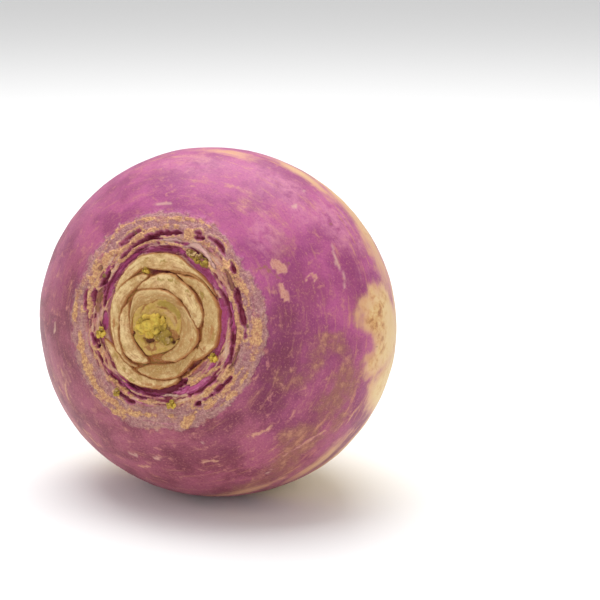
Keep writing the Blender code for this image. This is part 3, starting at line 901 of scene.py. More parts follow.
@dataclass(frozen=True)
class Skin:
    """The root's skin: purple over the crown's half, cream below, with the marks of growing and handling."""

    cream_edge: float = -11.0
    cream_wander: float = 7.0
    cream_fade: float = 14.0
    mark_strength: float = 0.7
    # Where the paler streak bands start and fade in: partly real banding, partly painted light that pales the
    # flanks away from the crown.
    lit_bands_start: float = 34.0
    lit_bands_fade: float = 30.0
    # The sunny side faces up, under the key lamp: its orchid and violet are partly the skin's own colour,
    # partly painted light.
    sunny_and_lit_side: float = math.radians(62)

    def tissues(self, points: np.ndarray) -> Relief:
        """Works out where the skin's colours and marks lie, at points on the turnip's axes."""
        x, y, z = points.T
        turn = np.arctan2(y, x)
        longitude, latitude = np.degrees(turn), np.degrees(np.arctan2(z, np.hypot(x, y)))
        wander = Grain(6, 40).rough(points, 4)
        relief = Relief(unrolled(longitude, latitude), Grain(1.2, 46).rough(points, 2))
        edge = self.cream_edge + self.cream_wander * Grain(17, 44).rough(points, 4)
        found = relief.notes
        found["cream"] = smooth_step((edge - latitude) / self.cream_fade + 0.5)
        for patch in PATCHES:
            cover = patch.cover(longitude, latitude, wander)
            found[patch.note] = np.maximum(found.get(patch.note, 0), cover)
        cream = found["cream"]
        relief.lay((mark.stroke() for mark in MARKS), strength=self.mark_strength)
        found["cream"] = cream
        # Orchid toward the upper side, under the key lamp: partly real pigment, partly painted light.
        found["sunny_and_lit"] = smooth_step(0.45 + 0.55 * np.cos(turn - self.sunny_and_lit_side) + 0.25 * wander)
        # Paler streaking away from the crown: partly real banding, partly painted light on the flanks.
        found["banded_and_lit"] = smooth_step((self.lit_bands_start - latitude) / self.lit_bands_fade)
        relief.height += 0.25 * Grain(14, 60).rough(points) + 0.05 * Grain(2.5, 61).rough(points)
        return relief


@dataclass(frozen=True)
class SkinFinish:
    """Waxy root skin, purple to cream, with the dull cork and moist furrows of the crown."""

    wine: Colour = tone(98, 30, 50)
    maroon: Colour = tone(156, 80, 100)
    violet: Colour = tone(134, 48, 106)
    orchid: Colour = tone(176, 84, 134)
    rose: Colour = tone(204, 132, 124)
    lilac: Colour = tone(176, 112, 140)
    tan_rose: Colour = tone(196, 134, 100)
    tawny: Colour = tone(144, 92, 76)
    pale: Colour = tone(214, 162, 126)
    cream: Colour = tone(224, 196, 138)
    sand: Colour = tone(204, 150, 88)
    umber: Colour = tone(158, 104, 60)
    cork: Colour = tone(158, 112, 110)
    cork_pale: Colour = tone(206, 160, 150)
    cork_tan: Colour = tone(234, 188, 126)
    cork_brown: Colour = tone(192, 138, 98)
    furrow: Colour = tone(128, 42, 66)
    moat: Colour = tone(174, 76, 124)
    collar: Colour = tone(200, 146, 116)
    film: Colour = tone(220, 184, 160)
    scar: Colour = tone(204, 148, 112)
    bloom: Colour = tone(206, 130, 158)
    olive: Colour = tone(140, 116, 45)
    bark: Colour = tone(142, 96, 60)
    floor: Colour = tone(170, 106, 52)

    def material(self) -> bpy.types.Material:
        """Builds the finish."""
        bench = Bench("skin")
        grown = bench.vector("grown")
        clouds = bench.noise(grown, 11, 4, 0.6, 0.4)
        mottle = bench.noise(grown, 2.4, 5, 0.65, 0.3)
        speck = bench.noise(grown, 0.5, 3, 0.7)
        hoops = bench.noise(bench.stretched(grown, (0.1, 0.1, 0.8)), 1, 4, 0.65)
        fibres = bench.noise(bench.stretched(grown, (0.25, 0.25, 1.8)), 1, 4, 0.65)
        comb = bench.noise(bench.vector("combed"), 0.6, 4, 0.65)
        skin = self._purple(bench, clouds, mottle, speck, hoops)
        share = bench.value("cream") + 0.4 * (mottle - 0.5) + 0.5 * (hoops - 0.5) + 0.25 * (clouds - 0.5)
        skin = bench.blend(share.step(0.0, 0.6) * 0.85, skin, self.pale)
        skin = bench.blend(share.step(0.2, 1.1), skin, self._cream(bench, clouds, mottle, speck, hoops))
        collar = bench.blend(fibres.step(0.48, 0.66) * 0.7, self.collar, self.film)
        collar = bench.blend(fibres.step(0.48, 0.32) * 0.7, collar, self.moat)
        skin = bench.blend(bench.value("collar") * (0.4 + mottle).held(), skin, collar)
        granules = bench.cells(grown, 0.62)
        grit = 0.55 * comb + 0.45 * speck
        corky = bench.blend(grit.step(0.42, 0.66), self.cork, self.cork_pale)
        corky = bench.blend(mottle.step(0.5, 0.64) * 0.45, corky, self.scar)
        corky = bench.blend(mottle.step(0.46, 0.3) * 0.4, corky, self.maroon)
        skin = bench.blend((bench.value("cork") + 0.6 * (speck - 0.5)).step(0.15, 0.8) * 0.85, skin, corky)
        dry = bench.blend((grit + 0.2 * (0.5 - granules)).step(0.4, 0.62), self.cork_brown, self.cork_tan)
        dry = bench.blend(speck.step(0.55, 0.75) * 0.4, dry, self.film)
        skin = bench.blend((bench.value("tan") + 0.8 * (grit - 0.5)).step(0.15, 0.8) * 0.85, skin, dry)
        dead = bench.value("bark") + 0.9 * (fibres - 0.5) + 0.5 * (speck - 0.5)
        skin = bench.blend(dead.step(0.3, 0.9) * 0.85, skin, self.bark)
        skin = bench.blend(bench.value("olive") * 0.9, skin, self.olive)
        skin = bench.blend(bench.value("pale") * (0.2 + fibres).held(), skin, self.film)
        fleshy = bench.blend(fibres.step(0.48, 0.64) * 0.75, self.moat, self.bloom)
        fleshy = bench.blend(mottle.step(0.5, 0.36) * 0.6, fleshy, self.furrow)
        skin = bench.blend((bench.value("vivid") + 0.6 * (fibres - 0.5)).step(0.15, 0.85), skin, fleshy)
        cut = bench.value("dark") + 0.6 * (fibres - 0.5)
        skin = bench.blend(cut.step(0.05, 0.5) * 0.8, skin, self.maroon)
        skin = bench.blend(cut.step(0.4, 0.95), skin, self.furrow)
        between = bench.blend(fibres.step(0.46, 0.62), self.floor, self.olive)
        between = bench.blend(speck.step(0.5, 0.66) * 0.6, between, self.scar)
        skin = bench.blend(bench.value("floor") * (1.0 - 0.9 * bench.value("dark")), skin, between)
        rough = bench.value("cork") + bench.value("tan") + bench.value("collar")
        relief = bench.bump(speck + 0.6 * mottle + 0.4 * hoops, 0.08)
        relief = bench.bump((granules + fibres + comb) * rough.held(), 0.3, relief)
        shine = 0.45 + 0.35 * rough.held()
        return bench.finish(Base_Color=skin, Roughness=shine, Normal=relief, Specular_IOR_Level=0.3)

    def _purple(self, bench: Bench, clouds: Wire, mottle: Wire, speck: Wire, hoops: Wire) -> Wire:
        """Mixes the purple of the crown's half."""
        # The upper side, under the key lamp, is mixed orchid and violet, the far side maroon and wine: partly
        # real pigment, partly painted light and shade.
        sunny_and_lit = (bench.value("sunny_and_lit") + 0.5 * (clouds - 0.5)).held()
        banded_and_lit = bench.value("banded_and_lit")
        deep = bench.blend(sunny_and_lit, self.wine, self.violet)
        purple = bench.blend(sunny_and_lit, self.maroon, self.orchid)
        purple = bench.blend((bench.value("wine") + 0.7 * (mottle - 0.5)).held() * 0.85, purple, self.wine)
        purple = bench.blend(clouds.step(0.6, 0.36) * 0.6, purple, deep)
        purple = bench.blend(mottle.step(0.54, 0.74) * 0.6, purple, self.rose)
        streak = (bench.value("scar") + 0.9 * (hoops - 0.5) + 0.5 * (mottle - 0.5)).step(0.1, 0.7)
        healed = bench.blend(speck.step(0.42, 0.62) * 0.4, self.scar, self.film)
        purple = bench.blend(streak * 0.7, purple, healed)
        purple = bench.blend(bench.value("film") * (0.3 + hoops).held(), purple, self.lilac)
        tawny = bench.blend((mottle - 0.4 * (clouds - 0.5)).step(0.5, 0.7) * 0.5, self.tawny, self.scar)
        share = bench.value("tawny") * (0.4 + mottle) + 0.5 * (mottle - 0.5) + 0.15 * (speck - 0.5)
        purple = bench.blend(share.step(0.05, 1.0) * 0.9, purple, tawny)
        purple = bench.blend(bench.value("bloom") * mottle.step(0.3, 0.6) * 0.7, purple, self.bloom)
        # Tan and lilac streaks thicken away from the crown, the lilac more on the upper side: partly real
        # banding, partly painted light.
        purple = bench.blend(hoops.step(0.54, 0.72) * (0.25 + 0.55 * banded_and_lit), purple, self.tan_rose)
        paler = hoops.step(0.46, 0.28) * (0.1 + 0.35 * banded_and_lit) * (0.3 + 0.7 * sunny_and_lit)
        purple = bench.blend(paler, purple, self.lilac)
        purple = bench.blend(speck.step(0.52, 0.72) * 0.4, purple, self.rose)
        return bench.blend(speck.step(0.47, 0.28) * 0.5, purple, deep)

    def _cream(self, bench: Bench, clouds: Wire, mottle: Wire, speck: Wire, hoops: Wire) -> Wire:
        """Mixes the cream of the lower half."""
        lower = bench.blend((mottle + 0.8 * (clouds - 0.5)).step(0.42, 0.7) * 0.65, self.cream, self.sand)
        lower = bench.blend(hoops.step(0.52, 0.72) * 0.4, lower, self.sand)
        lower = bench.blend(bench.value("rust") * mottle.step(0.4, 0.6) * 0.8, lower, self.sand)
        lower = bench.blend(bench.value("rust") * mottle.step(0.54, 0.66) * 0.8, lower, self.umber)
        lower = bench.blend((mottle * clouds).step(0.29, 0.4) * 0.35, lower, self.umber)
        return bench.blend(speck.step(0.62, 0.8) * 0.4, lower, self.umber)


@dataclass
class Root:
    """The root itself, from the floor of its crown to the cut tip of its tail."""

    shape: RootShape
    crown: Crown
    skin: Skin
    turns: int = 480
    crown_foot: float = 20.0
    crown_fade: float = 3.0

    def outline(self) -> list[Spot]:
        """The root's half outline, from the middle of the crown to the tip of the tail."""
        shoulder = self.shape.shoulder(self.crown.rim_radius, 56)
        return [*self.crown.outline(self.shape), *shoulder, *self.shape.underside(44), *self.shape.tail(14)]

    def build(self, axes: Axes) -> Piece:
        """Turns the outline round the axis, then lets the crown and the skin grow uneven."""
        piece = turned("turnip_root", self.outline(), self.turns)
        plain, facing = piece.points, piece.normals
        crown, skin = self.crown.tissues(plain), self.skin.tissues(self.shape.lopsided(plain))
        on_crown = smooth_step((plain[:, 2] - self.crown_foot) / self.crown_fade)
        height = crown.height * on_crown + skin.height * (1 - on_crown)
        along_tail = (-plain[:, 2] - self.shape.base_drop).clip(0)
        travelled = SKIN_RADIUS * np.arctan2(np.hypot(*plain[:, :2].T), plain[:, 2]) + along_tail
        piece.note("grown", np.column_stack((plain[:, :2], travelled)))
        for name, values in (skin.notes | crown.notes).items():
            shared = values.ndim == 1 and name in crown.notes
            piece.note(name, np.maximum(values * on_crown, skin.notes.get(name, 0)) if shared else values)
        piece.points = axes.pressed(self.shape.lopsided(plain + facing * height[:, None]))
        return piece

    def dress(self, axes: Axes) -> None:
        """Builds the root and lays it down in its skin."""
        self.build(axes).lay_down(axes, SkinFinish().material(), "skin", ["root"])


# ---------------------------------------------------------------- the cut leaf stalks


@dataclass(frozen=True)
class CutStalkFinish:
    """Dry cut leaf stalk: buff and stringy on the cut, pink then brown down its sides."""

    buff: Colour = tone(194, 153, 99)
    straw: Colour = tone(230, 200, 144)
    ochre: Colour = tone(170, 118, 62)
    olive: Colour = tone(154, 122, 42)
    yellow: Colour = tone(174, 134, 76)
    rim: Colour = tone(172, 112, 58)
    blush: Colour = tone(184, 112, 80)
    shade: Colour = tone(192, 120, 62)

    def material(self) -> bpy.types.Material:
        """Builds the finish."""
        bench = Bench("cut_leaf_base")
        strand = bench.vector("strand")
        depth, rim = bench.value("depth"), bench.value("rim")
        fibre = bench.noise(bench.stretched(strand, (0.3, 1.5, 1.0)), 1, 4, 0.65, 0.4)
        stain = bench.noise(strand, 2.6, 5, 0.65, 0.6)
        fine = bench.noise(strand, 0.45, 4, 0.7)
        broad = bench.noise(strand, 6, 3, 0.6, 0.5)
        # Random buff and straw tone, with a painted highlight that lightens each cut toward its outer side.
        tone_and_highlight = 0.6 * stain + 0.4 * broad + 0.05 * bench.value("outward")
        face = bench.blend(tone_and_highlight.step(0.42, 0.58), self.buff, self.straw)
        face = bench.blend(broad.step(0.52, 0.64) * 0.3, face, self.blush)
        face = bench.blend(broad.step(0.45, 0.3) * 0.4, face, self.olive)
        # Darker yellow toward the inner side of a cut: fresh new growth on stalk 8, partly painted shade on
        # stalks 4 and 5.
        face = bench.blend(bench.value("young_and_shaded"), face, self.yellow)
        face = bench.blend(fibre.step(0.48, 0.64) * 0.6, face, self.ochre)
        face = bench.blend(stain.step(0.42, 0.3) * 0.6, face, self.olive)
        face = bench.blend(fine.step(0.52, 0.7) * 0.5, face, self.ochre)
        face = bench.blend(fine.step(0.48, 0.3) * 0.6, face, self.straw)
        green = bench.value("olive") + fine + 0.5 * stain - 0.75
        face = bench.blend(green.step(0.3, 1.3) * 0.9, face, self.olive)
        face = bench.blend(bench.value("bark") * (0.3 + fine).held(), face, self.rim)
        edge = rim + 0.7 * (fine - 0.5) + 0.5 * (stain - 0.5)
        face = bench.blend(edge.step(0.15, 0.95) * 0.9, face, self.rim)
        side = bench.blend((depth + 0.5 * (fibre - 0.5)).step(0.1, 0.6), self.blush, self.shade)
        colour = bench.blend(depth.step(0.02, 0.15), face, side)
        relief = bench.bump(fibre + 0.8 * fine + 0.5 * stain, 0.34)
        return bench.finish(Base_Color=colour, Roughness=0.75, Normal=relief)


@dataclass(frozen=True)
class CutStalk:
    """The stub of one cut leaf stalk, a crescent that hugs those inside it."""

    name: str
    top: float
    outer: tuple[Spot, ...]
    inner: tuple[Spot, ...]
    nodes: tuple[str, ...] = ()
    # How far the cut darkens to yellow toward its inner side: new growth, and on stalks 4 and 5 partly
    # painted shade.
    young_and_shaded: float = 0.0
    foot: float = 27.6
    swell: float = 0.18
    squareness: int = 14
    blunt_end: float = 0.25
    half_length: float = 12.0
    worn_edge: float = 0.45
    worn_drop: float = 0.4
    dry_rim: float = 0.6
    along: int = 130
    across: int = 18

    def build(self, rosette: Rosette) -> Piece:
        """Bends a strip to the crescent, draws it down to the floor and roughens its cut."""
        shape = bmesh.new()
        bmesh.ops.create_grid(shape, x_segments=self.along, y_segments=self.across, size=1)
        grown = bmesh.ops.extrude_face_region(shape, geom=list(shape.faces), use_keep_orig=True)
        for vertex in (item for item in grown["geom"] if isinstance(item, bmesh.types.BMVert)):
            vertex.co.z = -1
        sides = [edge for edge in shape.edges if abs(edge.verts[0].co.z - edge.verts[1].co.z) > 0.5]
        bmesh.ops.subdivide_edges(shape, edges=sides, cuts=5, use_grid_fill=False)
        piece = Piece.of(self.name, shape)
        square = piece.points
        share, depth = (square[:, 0] + 1) / 2, -square[:, 2]
        spread = np.sin(square[:, 1] * math.pi / 2)
        rims = [self._along(side, share) for side in (self.outer, self.inner)]
        middle, half = (rims[0] + rims[1]) / 2, (rims[0] - rims[1]) / 2
        taper = (1 - np.abs(square[:, 0]) ** self.squareness) ** 0.5
        spots = middle + half * (spread * np.maximum(taper, self.blunt_end))[:, None]
        width = np.hypot(*half.T)
        from_end = (1 - np.abs(square[:, 0])) * self.half_length
        from_rim = np.minimum((1 - np.abs(spread)) * width, from_end)
        own = 9.0 * len(self.name) + 5 * self.top + self.outer[0][0]
        level = self.top + 0.45 * Grain(3, 70).rough(spots + own) + 0.2 * Grain(0.7, 71).rough(spots, 3)
        relief = Relief(spots, Grain(0.8, 75).rough(spots, 3))
        relief.lay(CUT_MARKS)
        level += relief.height - self.worn_drop * smooth_step(1 - from_rim / self.worn_edge) ** 2
        height = level + (self.foot - level) * depth
        ragged = self.swell + 0.3 * Grain(1.7, 73).rough(spots + own, 3)
        bulge = 0.1 * Grain(1.2, 72).rough(np.column_stack((spots, height))) * smooth_step(4 * depth)
        outward = half / np.maximum(width, 0.1)[:, None] * spread[:, None]
        spots = spots + outward * (ragged + bulge)[:, None]
        piece.note("strand", np.column_stack((share * 2 * self.half_length + own, spread * width, height)))
        piece.note("depth", depth)
        piece.note("rim", smooth_step(1 - from_rim / self.dry_rim))
        piece.note("outward", spread)
        for name in ("olive", "bark"):
            piece.note(name, relief.notes[name])
        # Darker yellow toward the inner side: new growth on stalk 8, partly painted shade on stalks 4 and 5.
        piece.note("young_and_shaded", self.young_and_shaded * smooth_step(0.8 - 0.5 * spread + 0.4 * Grain(2.2, 74).rough(spots)))
        piece.points = rosette.to_axes(spots, height)
        return piece

    @staticmethod
    def _along(side: Sequence[Spot], share: np.ndarray) -> np.ndarray:
        """Places on one side of the crescent, at shares of the way along it."""
        curve, steps = through(side, 200), np.linspace(0, 1, 200)
        return np.column_stack([np.interp(share, steps, curve[:, axis]) for axis in (0, 1)])


CUT_MARKS = (
    Stroke(Tissue.OLIVE, 0.5, ((-5.4, 15.0), (-4.7, 15.5), (-3.9, 15.7)), 0.5),
    Stroke(Tissue.OLIVE, 0.6, ((-1.0, 14.6), (-0.2, 14.9), (0.7, 14.6)), 0.5),
    Stroke(Tissue.OLIVE, 0.6, ((-1.6, 10.2), (0.4, 10.4), (2.6, 9.8)), 0.9),
    Stroke(Tissue.OLIVE, 0.5, ((3.4, 9.6), (4.8, 8.4)), 0.7),
    Stroke(Tissue.OLIVE, 0.7, ((6.4, 7.6), (7.3, 6.8), (7.8, 5.8)), 0.7),
    Stroke(Tissue.OLIVE, 0.7, ((10.2, 7.4), (10.9, 6.5), (11.0, 5.2)), 0.8),
    Stroke(Tissue.OLIVE, 0.7, ((10.8, 3.0), (11.0, 2.2)), 0.4),
    Stroke(Tissue.SPECK, 0.8, ((13.5, -1.2), (13.3, -2.7), (12.9, -4.2)), 0.6),
    Stroke(Tissue.SPECK, 0.7, ((11.8, -6.2), (11.2, -7.0)), 0.5),
    Stroke(Tissue.FOLD, 0.5, ((9.9, -5.8), (10.6, -7.2), (11.6, -7.6)), 0.4),
    Stroke(Tissue.SPECK, 0.9, ((7.8, -4.2), (7.9, -4.9)), 0.4),
    Stroke(Tissue.FOLD, 1.3, ((3.9, 5.4), (4.8, 4.6), (5.6, 3.8)), 0.5),
    Stroke(Tissue.FOLD, 0.8, ((-11.5, -11.7), (-11.2, -12.4)), 0.4),
    Stroke(Tissue.OLIVE, 0.7, ((-11.9, -11.2), (-11.0, -12.6)), 0.5),
    Stroke(Tissue.OLIVE, 0.6, ((-9.9, -14.2), (-8.2, -14.9)), 0.5),
    Stroke(Tissue.SPECK, 0.5, ((-14.0, 1.0), (-14.2, -2.4)), 0.5),
    Stroke(Tissue.SPECK, 0.6, ((-6.0, -15.4), (-3.0, -16.0), (-0.5, -15.9)), 0.6),
)

def standing_stalk(
    number: int, top: float, outer: tuple[Spot, ...], inner: tuple[Spot, ...], young_and_shaded: float = 0.0
) -> CutStalk:
    """Describes the stalk that stands for the leaf base of the same number."""
    return CutStalk(f"cut_stalk_{number}", top, outer, inner, (f"leaf_base_{number}",), young_and_shaded)


CUT_STALKS = (
    standing_stalk(
        1,
        29.9,
        (
            (-14.5, 5), (-13.4, 8.4), (-12, 11.3), (-10, 13.6), (-7, 15.9), (-4, 16.8), (0, 16.9),
            (4, 15.9), (7, 13.7), (10.5, 11), (12.4, 9), (14.5, 6),
        ),
        (
            (-13.8, 6.0), (-12, 8.8), (-10, 10.5), (-8, 12), (-5.5, 13.3), (-2.5, 13), (0, 12.7),
            (4, 12.3), (7, 11.9), (9.4, 10.9), (11.6, 9.3), (14.1, 6.3),
        ),
    ),
    standing_stalk(
        2,
        29.9,
        (
            (-11.9, -9.0), (-13.8, -6.3), (-14.9, -2), (-15.2, 1.5), (-14.6, 5), (-13, 7.8),
            (-10.6, 9.9), (-8, 11.2), (-6, 11.6), (-4.3, 11.7),
        ),
        (
            (-11.3, -8.9), (-12.3, -5.4), (-12.7, -2), (-12.6, 0), (-12.0, 3), (-10.8, 5.5),
            (-9.2, 7.3), (-7.6, 8.4), (-6, 9.7), (-4.3, 10.9),
        ),
    ),
    standing_stalk(
        3,
        30.3,
        (
            (-7.3, 8.4), (-5, 10), (-3, 11.2), (0, 11.7), (2.5, 11.5), (5, 9.9), (7.8, 7.4),
            (9.5, 5), (10.7, 2.4), (10.8, 0.4), (10.2, -1.3),
        ),
        (
            (-7.2, 7.8), (-5, 8.1), (-2, 8.2), (0, 8), (2, 7.3), (4, 6), (6.2, 4),
            (7.5, 1.8), (8.5, 0), (9, -1), (9.6, -1.8),
        ),
    ),
    standing_stalk(
        4,
        30.0,
        (
            (3.4, 11.9), (7, 10.8), (9.5, 10.1), (11.6, 8.8), (13.4, 6.4), (14.9, 3), (15.1, 0),
            (14.9, -3), (13.9, -6.2), (11.6, -8.2), (9, -9.5), (7.5, -9.9),
        ),
        (
            (4.2, 11.2), (6, 9.5), (8, 8.2), (9.8, 6.2), (10.8, 4), (11.3, 2), (11.3, 0),
            (10.9, -2), (10.4, -4.4), (9.7, -6.5), (8.8, -8), (7.5, -9.1),
        ),
        # Stalk 4's darker yellow: partly its own warm tint, partly painted shade.
        0.6,
    ),
    standing_stalk(
        5,
        30.0,
        (
            (9.9, -7.3), (8.5, -9), (6.5, -11.2), (5, -12.7), (3, -13.8), (0, -14.3),
            (-3, -14), (-5, -13.2), (-7.2, -12.5),
        ),
        (
            (9.3, -6.2), (7.6, -7.7), (6, -8.9), (4, -9.8), (2, -10.4), (-0.4, -10.7),
            (-3, -10.8), (-5, -11.1), (-7.3, -11.5),
        ),
        # Stalk 5's darker yellow: partly its own tint, partly painted shade.
        0.9,
    ),
    standing_stalk(
        6,
        29.5,
        (
            (-17, -4.2), (-16.2, -6.5), (-14.4, -9.6), (-12.9, -12.6), (-11, -14.3), (-8, -15.8),
            (-4, -16.6), (-1, -16.6), (1.8, -15.9), (4, -14.4),
        ),
        (
            (-16.6, -4.3), (-14.7, -5.9), (-13.1, -7.6), (-11.2, -9.9), (-9.2, -11.6), (-7.2, -12.9),
            (-4, -14.1), (-1, -14.5), (1.4, -14.5), (3.7, -13.8),
        ),
    ),
    standing_stalk(
        7,
        30.3,
        (
            (-9.5, 4.9), (-11, 3.2), (-12, 0.8), (-12.2, -2), (-11.8, -5.5), (-10.5, -8.3),
            (-8, -9.9), (-5.8, -10.4), (-4.1, -10.2),
        ),
        (
            (-9.3, 4.4), (-9.5, 2.4), (-9.4, 0), (-9, -2.5), (-8.2, -4.6), (-7, -6.5),
            (-5.7, -8.1), (-5, -8.8), (-4.3, -9.3),
        ),
    ),
    standing_stalk(
        8,
        30.5,
        (
            (-8.8, -3), (-9.2, 0), (-8.9, 3), (-7.6, 6.9), (-4.6, 7.8), (-1, 7.8), (2, 7), (5, 4.7),
            (7.5, 1.4), (9.3, -2), (9.4, -4.8), (7.6, -7.6), (5, -9.3), (2.4, -10), (-0.6, -9.7),
        ),
        (
            (-8.4, -3), (-8.5, -1), (-8.2, 1.2), (-6.4, 3.4), (-4, 4.3), (-2, 4.9), (0, 5), (2.5, 4.4),
            (4.5, 2.8), (5.2, 0.4), (5.1, -3), (4.5, -5), (3.2, -6.6), (1.5, -7.6), (-0.2, -8.5),
        ),
        0.85,
    ),
    # Dry skins that stand between the outer stalks
    CutStalk(
        "dry_skin_1",
        29.9,
        ((1.5, 12.6), (4.5, 12.2), (7.6, 11.7), (10.4, 10.1), (12.4, 8.2)),
        ((1.7, 12.3), (4.4, 11.9), (7.4, 11.3), (10.1, 9.8), (12.2, 8.0)),
        along=60,
        across=6,
    ),
    CutStalk(
        "dry_skin_2",
        29.8,
        ((-12.9, -7.8), (-11.6, -9.3), (-9.8, -10.8), (-7.6, -11.5)),
        ((-12.4, -7.4), (-11.0, -8.8), (-9.3, -10.2), (-7.2, -10.9)),
        along=50,
        across=6,
    ),
)


# ---------------------------------------------------------------- the heart and the buds


@dataclass(frozen=True)
class PithFinish:
    """Dry pith of the heart: buff at its edge, yellow and olive within."""

    buff: Colour = tone(196, 158, 92)
    yellow: Colour = tone(190, 156, 70)
    olive: Colour = tone(150, 124, 40)
    tan: Colour = tone(190, 150, 98)
    edge: Colour = tone(150, 92, 44)
    pit: Colour = tone(104, 56, 30)

    def material(self) -> bpy.types.Material:
        """Builds the finish."""
        bench = Bench("heart_flesh")
        strand = bench.vector("strand")
        stain = bench.noise(strand, 2.6, 4, 0.6, 0.5)
        fine = bench.noise(strand, 0.45, 4, 0.7)
        face = bench.blend(stain.step(0.35, 0.62), self.yellow, self.buff)
        face = bench.blend(stain.step(0.42, 0.3) * 0.7, face, self.olive)
        face = bench.blend(bench.value("olive") * 0.75, face, self.olive)
        face = bench.blend(bench.value("scar") * 0.8, face, self.tan)
        face = bench.blend(bench.value("bark") * (0.3 + fine).held(), face, self.edge)
        face = bench.blend(fine.step(0.54, 0.72) * 0.5, face, self.edge)
        face = bench.blend(fine.step(0.46, 0.3) * 0.35, face, self.tan)
        face = bench.blend((bench.value("dark") + 0.5 * (fine - 0.5)).step(0.25, 0.8), face, self.pit)
        colour = bench.blend(bench.value("depth").step(0.03, 0.3), face, self.edge)
        return bench.finish(Base_Color=colour, Roughness=0.8, Normal=bench.bump(fine + stain, 0.25))


@dataclass(frozen=True)
class BudFinish:
    """Crumbly young leaf, bright yellow-green where it is fresh and olive brown where it has dried; the olive
    in its hollows and on the heap's lower right lobe is partly painted shade.
    """

    fresh: Colour = tone(210, 180, 68)
    gold: Colour = tone(192, 150, 50)
    olive: Colour = tone(142, 112, 28)
    brown: Colour = tone(112, 74, 34)
    husk: Colour = tone(206, 172, 118)

    def material(self) -> bpy.types.Material:
        """Builds the finish."""
        bench = Bench("bud_green")
        strand, dry = bench.vector("strand"), bench.value("dry")
        fine, lump = bench.noise(strand, 0.5, 4, 0.7), bench.noise(strand, 1.6, 3, 0.6)
        colour = bench.blend(lump.step(0.42, 0.6) * 0.8, self.fresh, self.gold)
        # Olive and brown follow a note of drying that also carries painted shade in the hollows and on the
        # heap's lower right lobe.
        colour = bench.blend((dry + 0.9 * (fine - 0.5)).step(0.2, 0.75), colour, self.olive)
        colour = bench.blend((dry + 0.9 * (fine - 0.5)).step(0.75, 1.1), colour, self.brown)
        colour = bench.blend(dry.step(0.7, 0.95) * lump.step(0.48, 0.6), colour, self.husk)
        return bench.finish(Base_Color=colour, Roughness=0.7, Normal=bench.bump(fine + lump, 0.3))


HEART_FOLDS = (
    Stroke(Tissue.OLIVE, 1.9, ((-1.7, 4.4), (0.6, 4.2), (2.6, 3.3), (4.1, 1.7), (4.6, 0.5)), 0.6),
    Stroke(Tissue.SCAR, 1.5, ((0.8, 2.1), (2.2, 1.5), (3.3, 0.2), (3.7, -1.2)), 0.5),
    Stroke(Tissue.FOLD, 0.32, ((-6.2, 1.6), (-5.7, 2.8), (-4.9, 3.9), (-3.6, 4.6), (-2.4, 4.7)), 0.25),
    Stroke(Tissue.FOLD, 0.4, ((-1.9, 3.5), (0.6, 3.3), (2.4, 2.2)), 0.3),
    Stroke(Tissue.FOLD, 0.3, ((2.9, 1.6), (3.9, 0.2), (4.2, -1.2)), 0.3),
    Stroke(Tissue.SPECK, 1.2, ((-4.4, -6.2), (-3.0, -6.9), (-1.2, -7.0)), 1.2),
    Stroke(Tissue.SPECK, 2.2, ((2.4, -2.2), (3.4, -3.4), (4.2, -4.6)), 0.9),
    Stroke(Tissue.SPECK, 1.8, ((-5.0, -4.2), (-3.2, -4.9), (-1.4, -5.1)), 0.8),
    Stroke(Tissue.NOTCH, 0.6, ((0.1, 1.0), (0.8, 0.6)), 0.5),
    Stroke(Tissue.NOTCH, 1.0, ((-4.8, -4.2), (-3.4, -4.8), (-1.9, -4.8)), 0.6),
    Stroke(Tissue.FOLD, 2.0, ((1.8, -4.6), (3.2, -4.4), (4.8, -3.4)), 0.7),
    Stroke(Tissue.NOTCH, 0.8, ((2.0, -5.2), (3.2, -5.0), (4.2, -4.4)), 0.7),
    Stroke(Tissue.NOTCH, 0.6, ((-8.2, -2.4), (-8.0, -3.4)), 0.3),
)


@dataclass(frozen=True)
class HeartCore:
    """The cut pith inside the innermost stalk, which it runs into at the top."""

    outline: tuple[Spot, ...] = (
        (5.2, -1.2), (5.5, 1.0), (5.0, 3.2), (2.9, 5.0), (0.2, 5.8), (-2.6, 5.6),
        (-5.2, 4.7), (-7.2, 3.1), (-8.4, 1.0), (-8.6, -1.4), (-8.1, -3.9), (-6.4, -6.3),
        (-4.3, -8.4), (-1.4, -8.0), (2.1, -7.0), (4.5, -4.6),
    )
    middle: Spot = (-1.4, -1.4)
    top: float = 30.42
    foot: float = 27.6

    def build(self, rosette: Rosette) -> Piece:
        """Turns a slab, draws it out to the heart's outline, and folds and roughens its top."""
        profile = [(radius, 1) for radius in np.linspace(0, 0.98, 40)]
        profile += [(1, height) for height in np.linspace(0.95, 0, 7)]
        piece = turned("heart_pith", [*profile, (0, 0)], 200)
        x, y, level = piece.points.T
        radius, angle = np.hypot(x, y), np.arctan2(y, x)
        border = through(self.outline, 240, closed=True) - self.middle
        directions = np.arctan2(*border.T[::-1])
        order = np.argsort(directions)
        reach = np.interp(angle, directions[order], np.hypot(*border[order].T), period=2 * math.pi)
        out = radius * reach
        spots = np.column_stack((out * np.cos(angle), out * np.sin(angle))) + self.middle
        relief = Relief(spots, Grain(0.8, 82).rough(spots, 3))
        relief.lay(HEART_FOLDS)
        top = self.top + 0.4 * Grain(2.6, 80).rough(spots) + 0.15 * Grain(0.6, 81).rough(spots, 2)
        top += relief.height - 0.25 * smooth_step((radius - 0.9) / 0.1)
        height = self.foot + (top - self.foot) * level
        for name in ("olive", "scar", "bark", "dark"):
            piece.note(name, relief.notes[name])
        piece.note("strand", np.column_stack((spots, height)))
        piece.note("depth", 1 - level)
        piece.points = rosette.to_axes(spots, height)
        return piece


